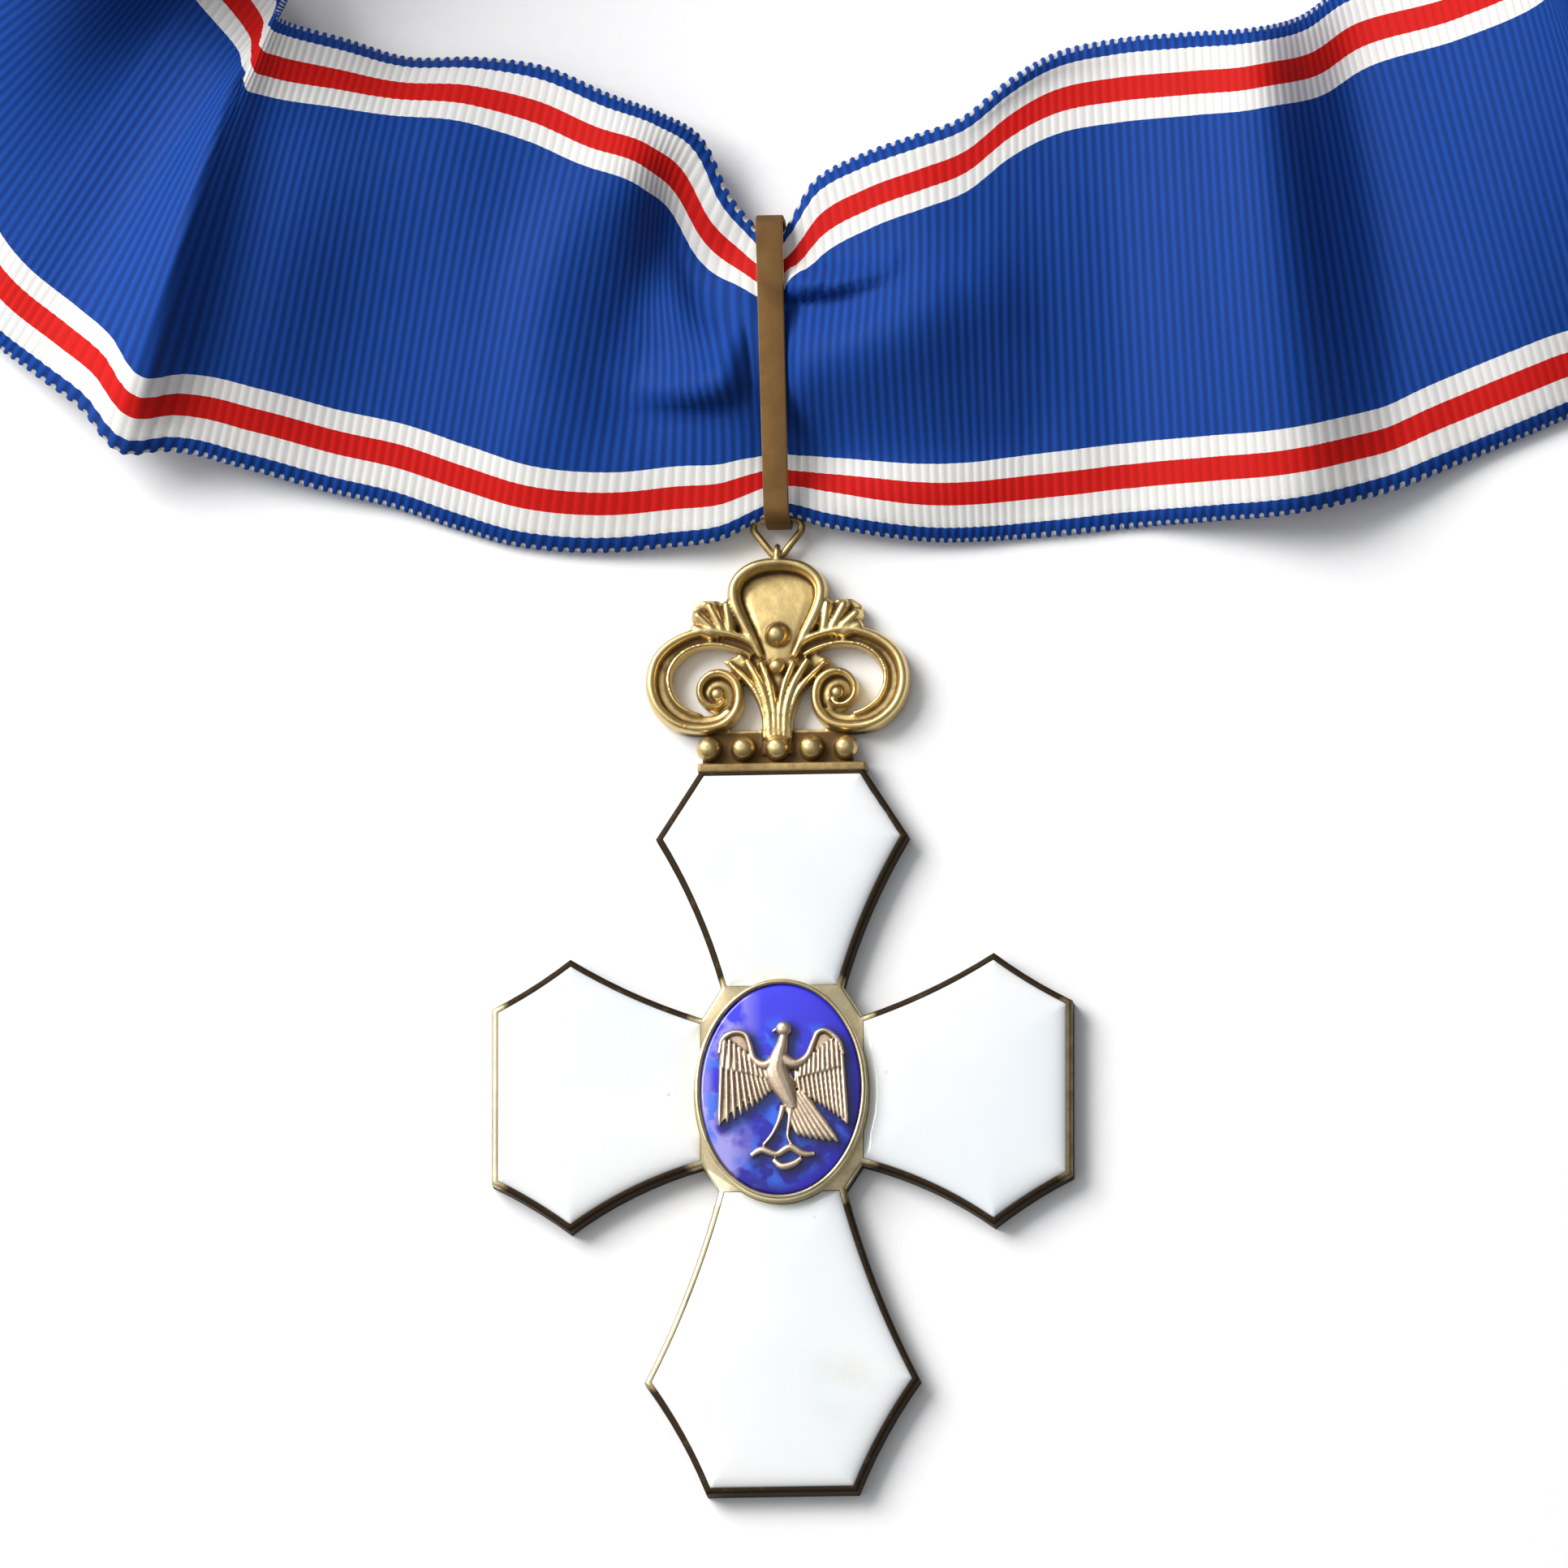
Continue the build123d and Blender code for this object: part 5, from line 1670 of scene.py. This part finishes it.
def rounded_loop(corners, bend, steps=6):
    """Points round a polygon whose corners are bent by this radius."""
    points = []
    corners = [np.array(c, float) for c in corners]
    befores, afters = corners[-1:] + corners[:-1], corners[1:] + corners[:1]
    for before, corner, after in zip(befores, corners, afters):
        to_before = (before - corner) / np.linalg.norm(before - corner)
        to_after = (after - corner) / np.linalg.norm(after - corner)
        half_turn = math.acos(np.clip(to_before @ to_after, -1, 1)) / 2
        reach = bend / math.tan(half_turn)
        centre_way = (to_before + to_after) / np.linalg.norm(to_before + to_after)
        centre = corner + centre_way * bend / math.sin(half_turn)
        first = corner + to_before * reach - centre
        second = corner + to_after * reach - centre
        sweep = math.acos(np.clip(first @ second / bend**2, -1, 1))
        for step in range(steps + 1):
            share = step / steps
            mixed = first * math.sin((1 - share) * sweep) + second * math.sin(share * sweep)
            points.append(centre + mixed / math.sin(sweep))
    return points


link_corners = [
    (link_low.x + wire_radius - link_bend, link_high.y - wire_radius, link_middle_z),
    (crest_x, link_low.y + wire_radius - link_dip, link_middle_z),
    (link_high.x - wire_radius + link_bend, link_high.y - wire_radius, link_middle_z),
]
link = wire_ring("link_wire", rounded_loop(link_corners, link_bend), wire_radius)
mark_recesses(link, 2, 0.2)
dress(link, gilt, "link_ring")

# %% Strip loop
strip_low, strip_high = (Vector(c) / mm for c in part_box("strip_loop"))
strip_thickness = 0.5
strip_bend = 1.5
strip_corner = 0.12
# Darker bands down the strip: painted shade at the dark ends, where it bends round the ribbon, and tarnish
# in the bands between.
strip_marks_from_top = [0.3, 1.8, 4.0, 8.0, 10.5, 13.0, 17.0, 21.0, 24.0, 27.0]
strip_shade_and_tarnish = [0.85, 0.1, 0.0, 0.1, 0.45, 0.1, 0.4, 0.15, 0.5, 1.0]
strip_narrowing = 0.07
strip_slant = 0.7
half_strip = strip_thickness / 2
strip_sides = (strip_low.y + half_strip, strip_high.y - half_strip)
strip_levels = (strip_low.z + half_strip, strip_high.z - half_strip)
strip_corners = [
    (strip_sides[0], strip_levels[0]),
    (strip_sides[1], strip_levels[0]),
    (strip_sides[1], strip_levels[1]),
    (strip_sides[0], strip_levels[1]),
]
strip_path = rounded_loop(strip_corners, strip_bend - half_strip, steps=8)
strip_path = spaced(np.array(strip_path), 0.7)
strip_middle_x = (strip_low.x + strip_high.x) / 2
strip_ahead = np.roll(strip_path, -1, axis=0) - np.roll(strip_path, 1, axis=0)
strip_ahead /= np.linalg.norm(strip_ahead, axis=1, keepdims=True)
section = []
for corner_x, corner_t, first_turn in ((1, 1, 0), (-1, 1, 90), (-1, -1, 180), (1, -1, 270)):
    for step in range(4):
        turn = math.radians(first_turn + 30 * step)
        out = strip_corner * math.cos(turn) - corner_x * strip_corner
        depth = corner_t * (half_strip - strip_corner) + strip_corner * math.sin(turn)
        section.append((corner_x, out, depth))
strip_points, strip_faces = [], []
for (y, z), (ahead_y, ahead_z) in zip(strip_path, strip_ahead):
    up_share = (y - strip_low.y) / (strip_high.y - strip_low.y)
    half_width = (strip_high.x - strip_low.x) / 2 * (1 - strip_narrowing * (1 - up_share))
    for corner_x, dx, depth in section:
        x = strip_middle_x + strip_slant * (0.5 - up_share) + corner_x * half_width + dx
        strip_points.append((x, y + ahead_z * depth, z - ahead_y * depth))
size = len(section)
for i in range(len(strip_path)):
    for j in range(size):
        k, m = (i + 1) % len(strip_path), (j + 1) % size
        strip_faces.append((i * size + j, k * size + j, k * size + m, i * size + m))
strip = make_object("strip", strip_points, strip_faces)
mark_recesses(strip, 2, 0.08)
from_top = strip_high.y - point_array(strip.data)[:, 1] / mm
darken(strip, np.interp(from_top, strip_marks_from_top, strip_shade_and_tarnish))
dress(strip, brass, "strip_loop")

# %% Clasp
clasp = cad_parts["ribbon_clasp"]
clasp.data.materials.clear()
clasp.data.materials.append(brass)
print("clasp keeps its solid")

# %% [markdown]
# ## Table and light
# The badge lies on a plain pale table. One large soft lamp stands at the upper left, as
# in the picture, so edges are bright on the left and shadows fall to the right and
# down. The room is brighter on that side too, which gives the metal its contrast.

# %% Table
table_size = 3000.0
table_gap = 0.02
table_corners = [(-1, -1), (1, -1), (1, 1), (-1, 1)]
table_points = [(x * table_size, y * table_size, -table_gap) for x, y in table_corners]
table = make_object("table", table_points, [(0, 1, 2, 3)])
paper, paper_tree, paper_shader = new_material("pale table")
paper_place = node(paper_tree, "ShaderNodeTexCoord").outputs["Object"]
paper_inputs = {"Vector": paper_place, "Scale": 800.0, "Detail": 4.0}
paper_noise = node(paper_tree, "ShaderNodeTexNoise", paper_inputs).outputs[0]
fibres = remap(paper_tree, paper_noise, 0.3, 0.7)
paper_colour = blend(paper_tree, fibres, (0.90, 0.90, 0.91, 1), (0.92, 0.92, 0.92, 1))
paper_tree.links.new(paper_colour, paper_shader.inputs["Base Color"])
paper_shader.inputs["Roughness"].default_value = 0.9
paper_shader.inputs["Specular IOR Level"].default_value = 0.1
table.data.materials.append(paper)

# %% Light


def soft_lamp(name, place, size, power, colour):
    """A square area lamp that shines at the badge."""
    lamp_data = bpy.data.lights.new(name, "AREA")
    lamp_data.size = size
    lamp_data.energy = power
    lamp_data.color = colour
    lamp = bpy.data.objects.new(name, lamp_data)
    bpy.context.scene.collection.objects.link(lamp)
    lamp.location = place
    lamp.rotation_euler = (view_middle - Vector(place)).to_track_quat("-Z", "Y").to_euler()
    return lamp


soft_lamp("window", place=(-0.74, 0.54, 0.76), size=0.75, power=17.5, colour=(1.0, 0.99, 0.97))

room = bpy.data.worlds.new("room")
bpy.context.scene.world = room
room.use_nodes = True
room_tree = room.node_tree
room_way = node(room_tree, "ShaderNodeTexCoord").outputs["Generated"]
window_way = (-0.85, 0.35, 0.40)
toward_window = node(
    room_tree, "ShaderNodeVectorMath", {0: room_way, 1: window_way}, operation="DOT_PRODUCT"
).outputs["Value"]
room_height = node(room_tree, "ShaderNodeSeparateXYZ", {0: room_way}).outputs[2]
ceiling_light = remap(room_tree, room_height, 0.15, 0.95, 0.06, 0.42)
window_light = remap(room_tree, toward_window, 0.35, 0.9, 0.0, 0.75)
room_light = calc(room_tree, "ADD", ceiling_light, window_light)
room_tree.links.new(room_light, room_tree.nodes["Background"].inputs["Strength"])
room_tree.nodes["Background"].inputs["Color"].default_value = (0.96, 0.98, 1.0, 1)

picture = bpy.context.scene.view_settings
picture.view_transform = "Standard"
picture.look = "None"
picture.exposure = 0.0
print("lamps and room ready")
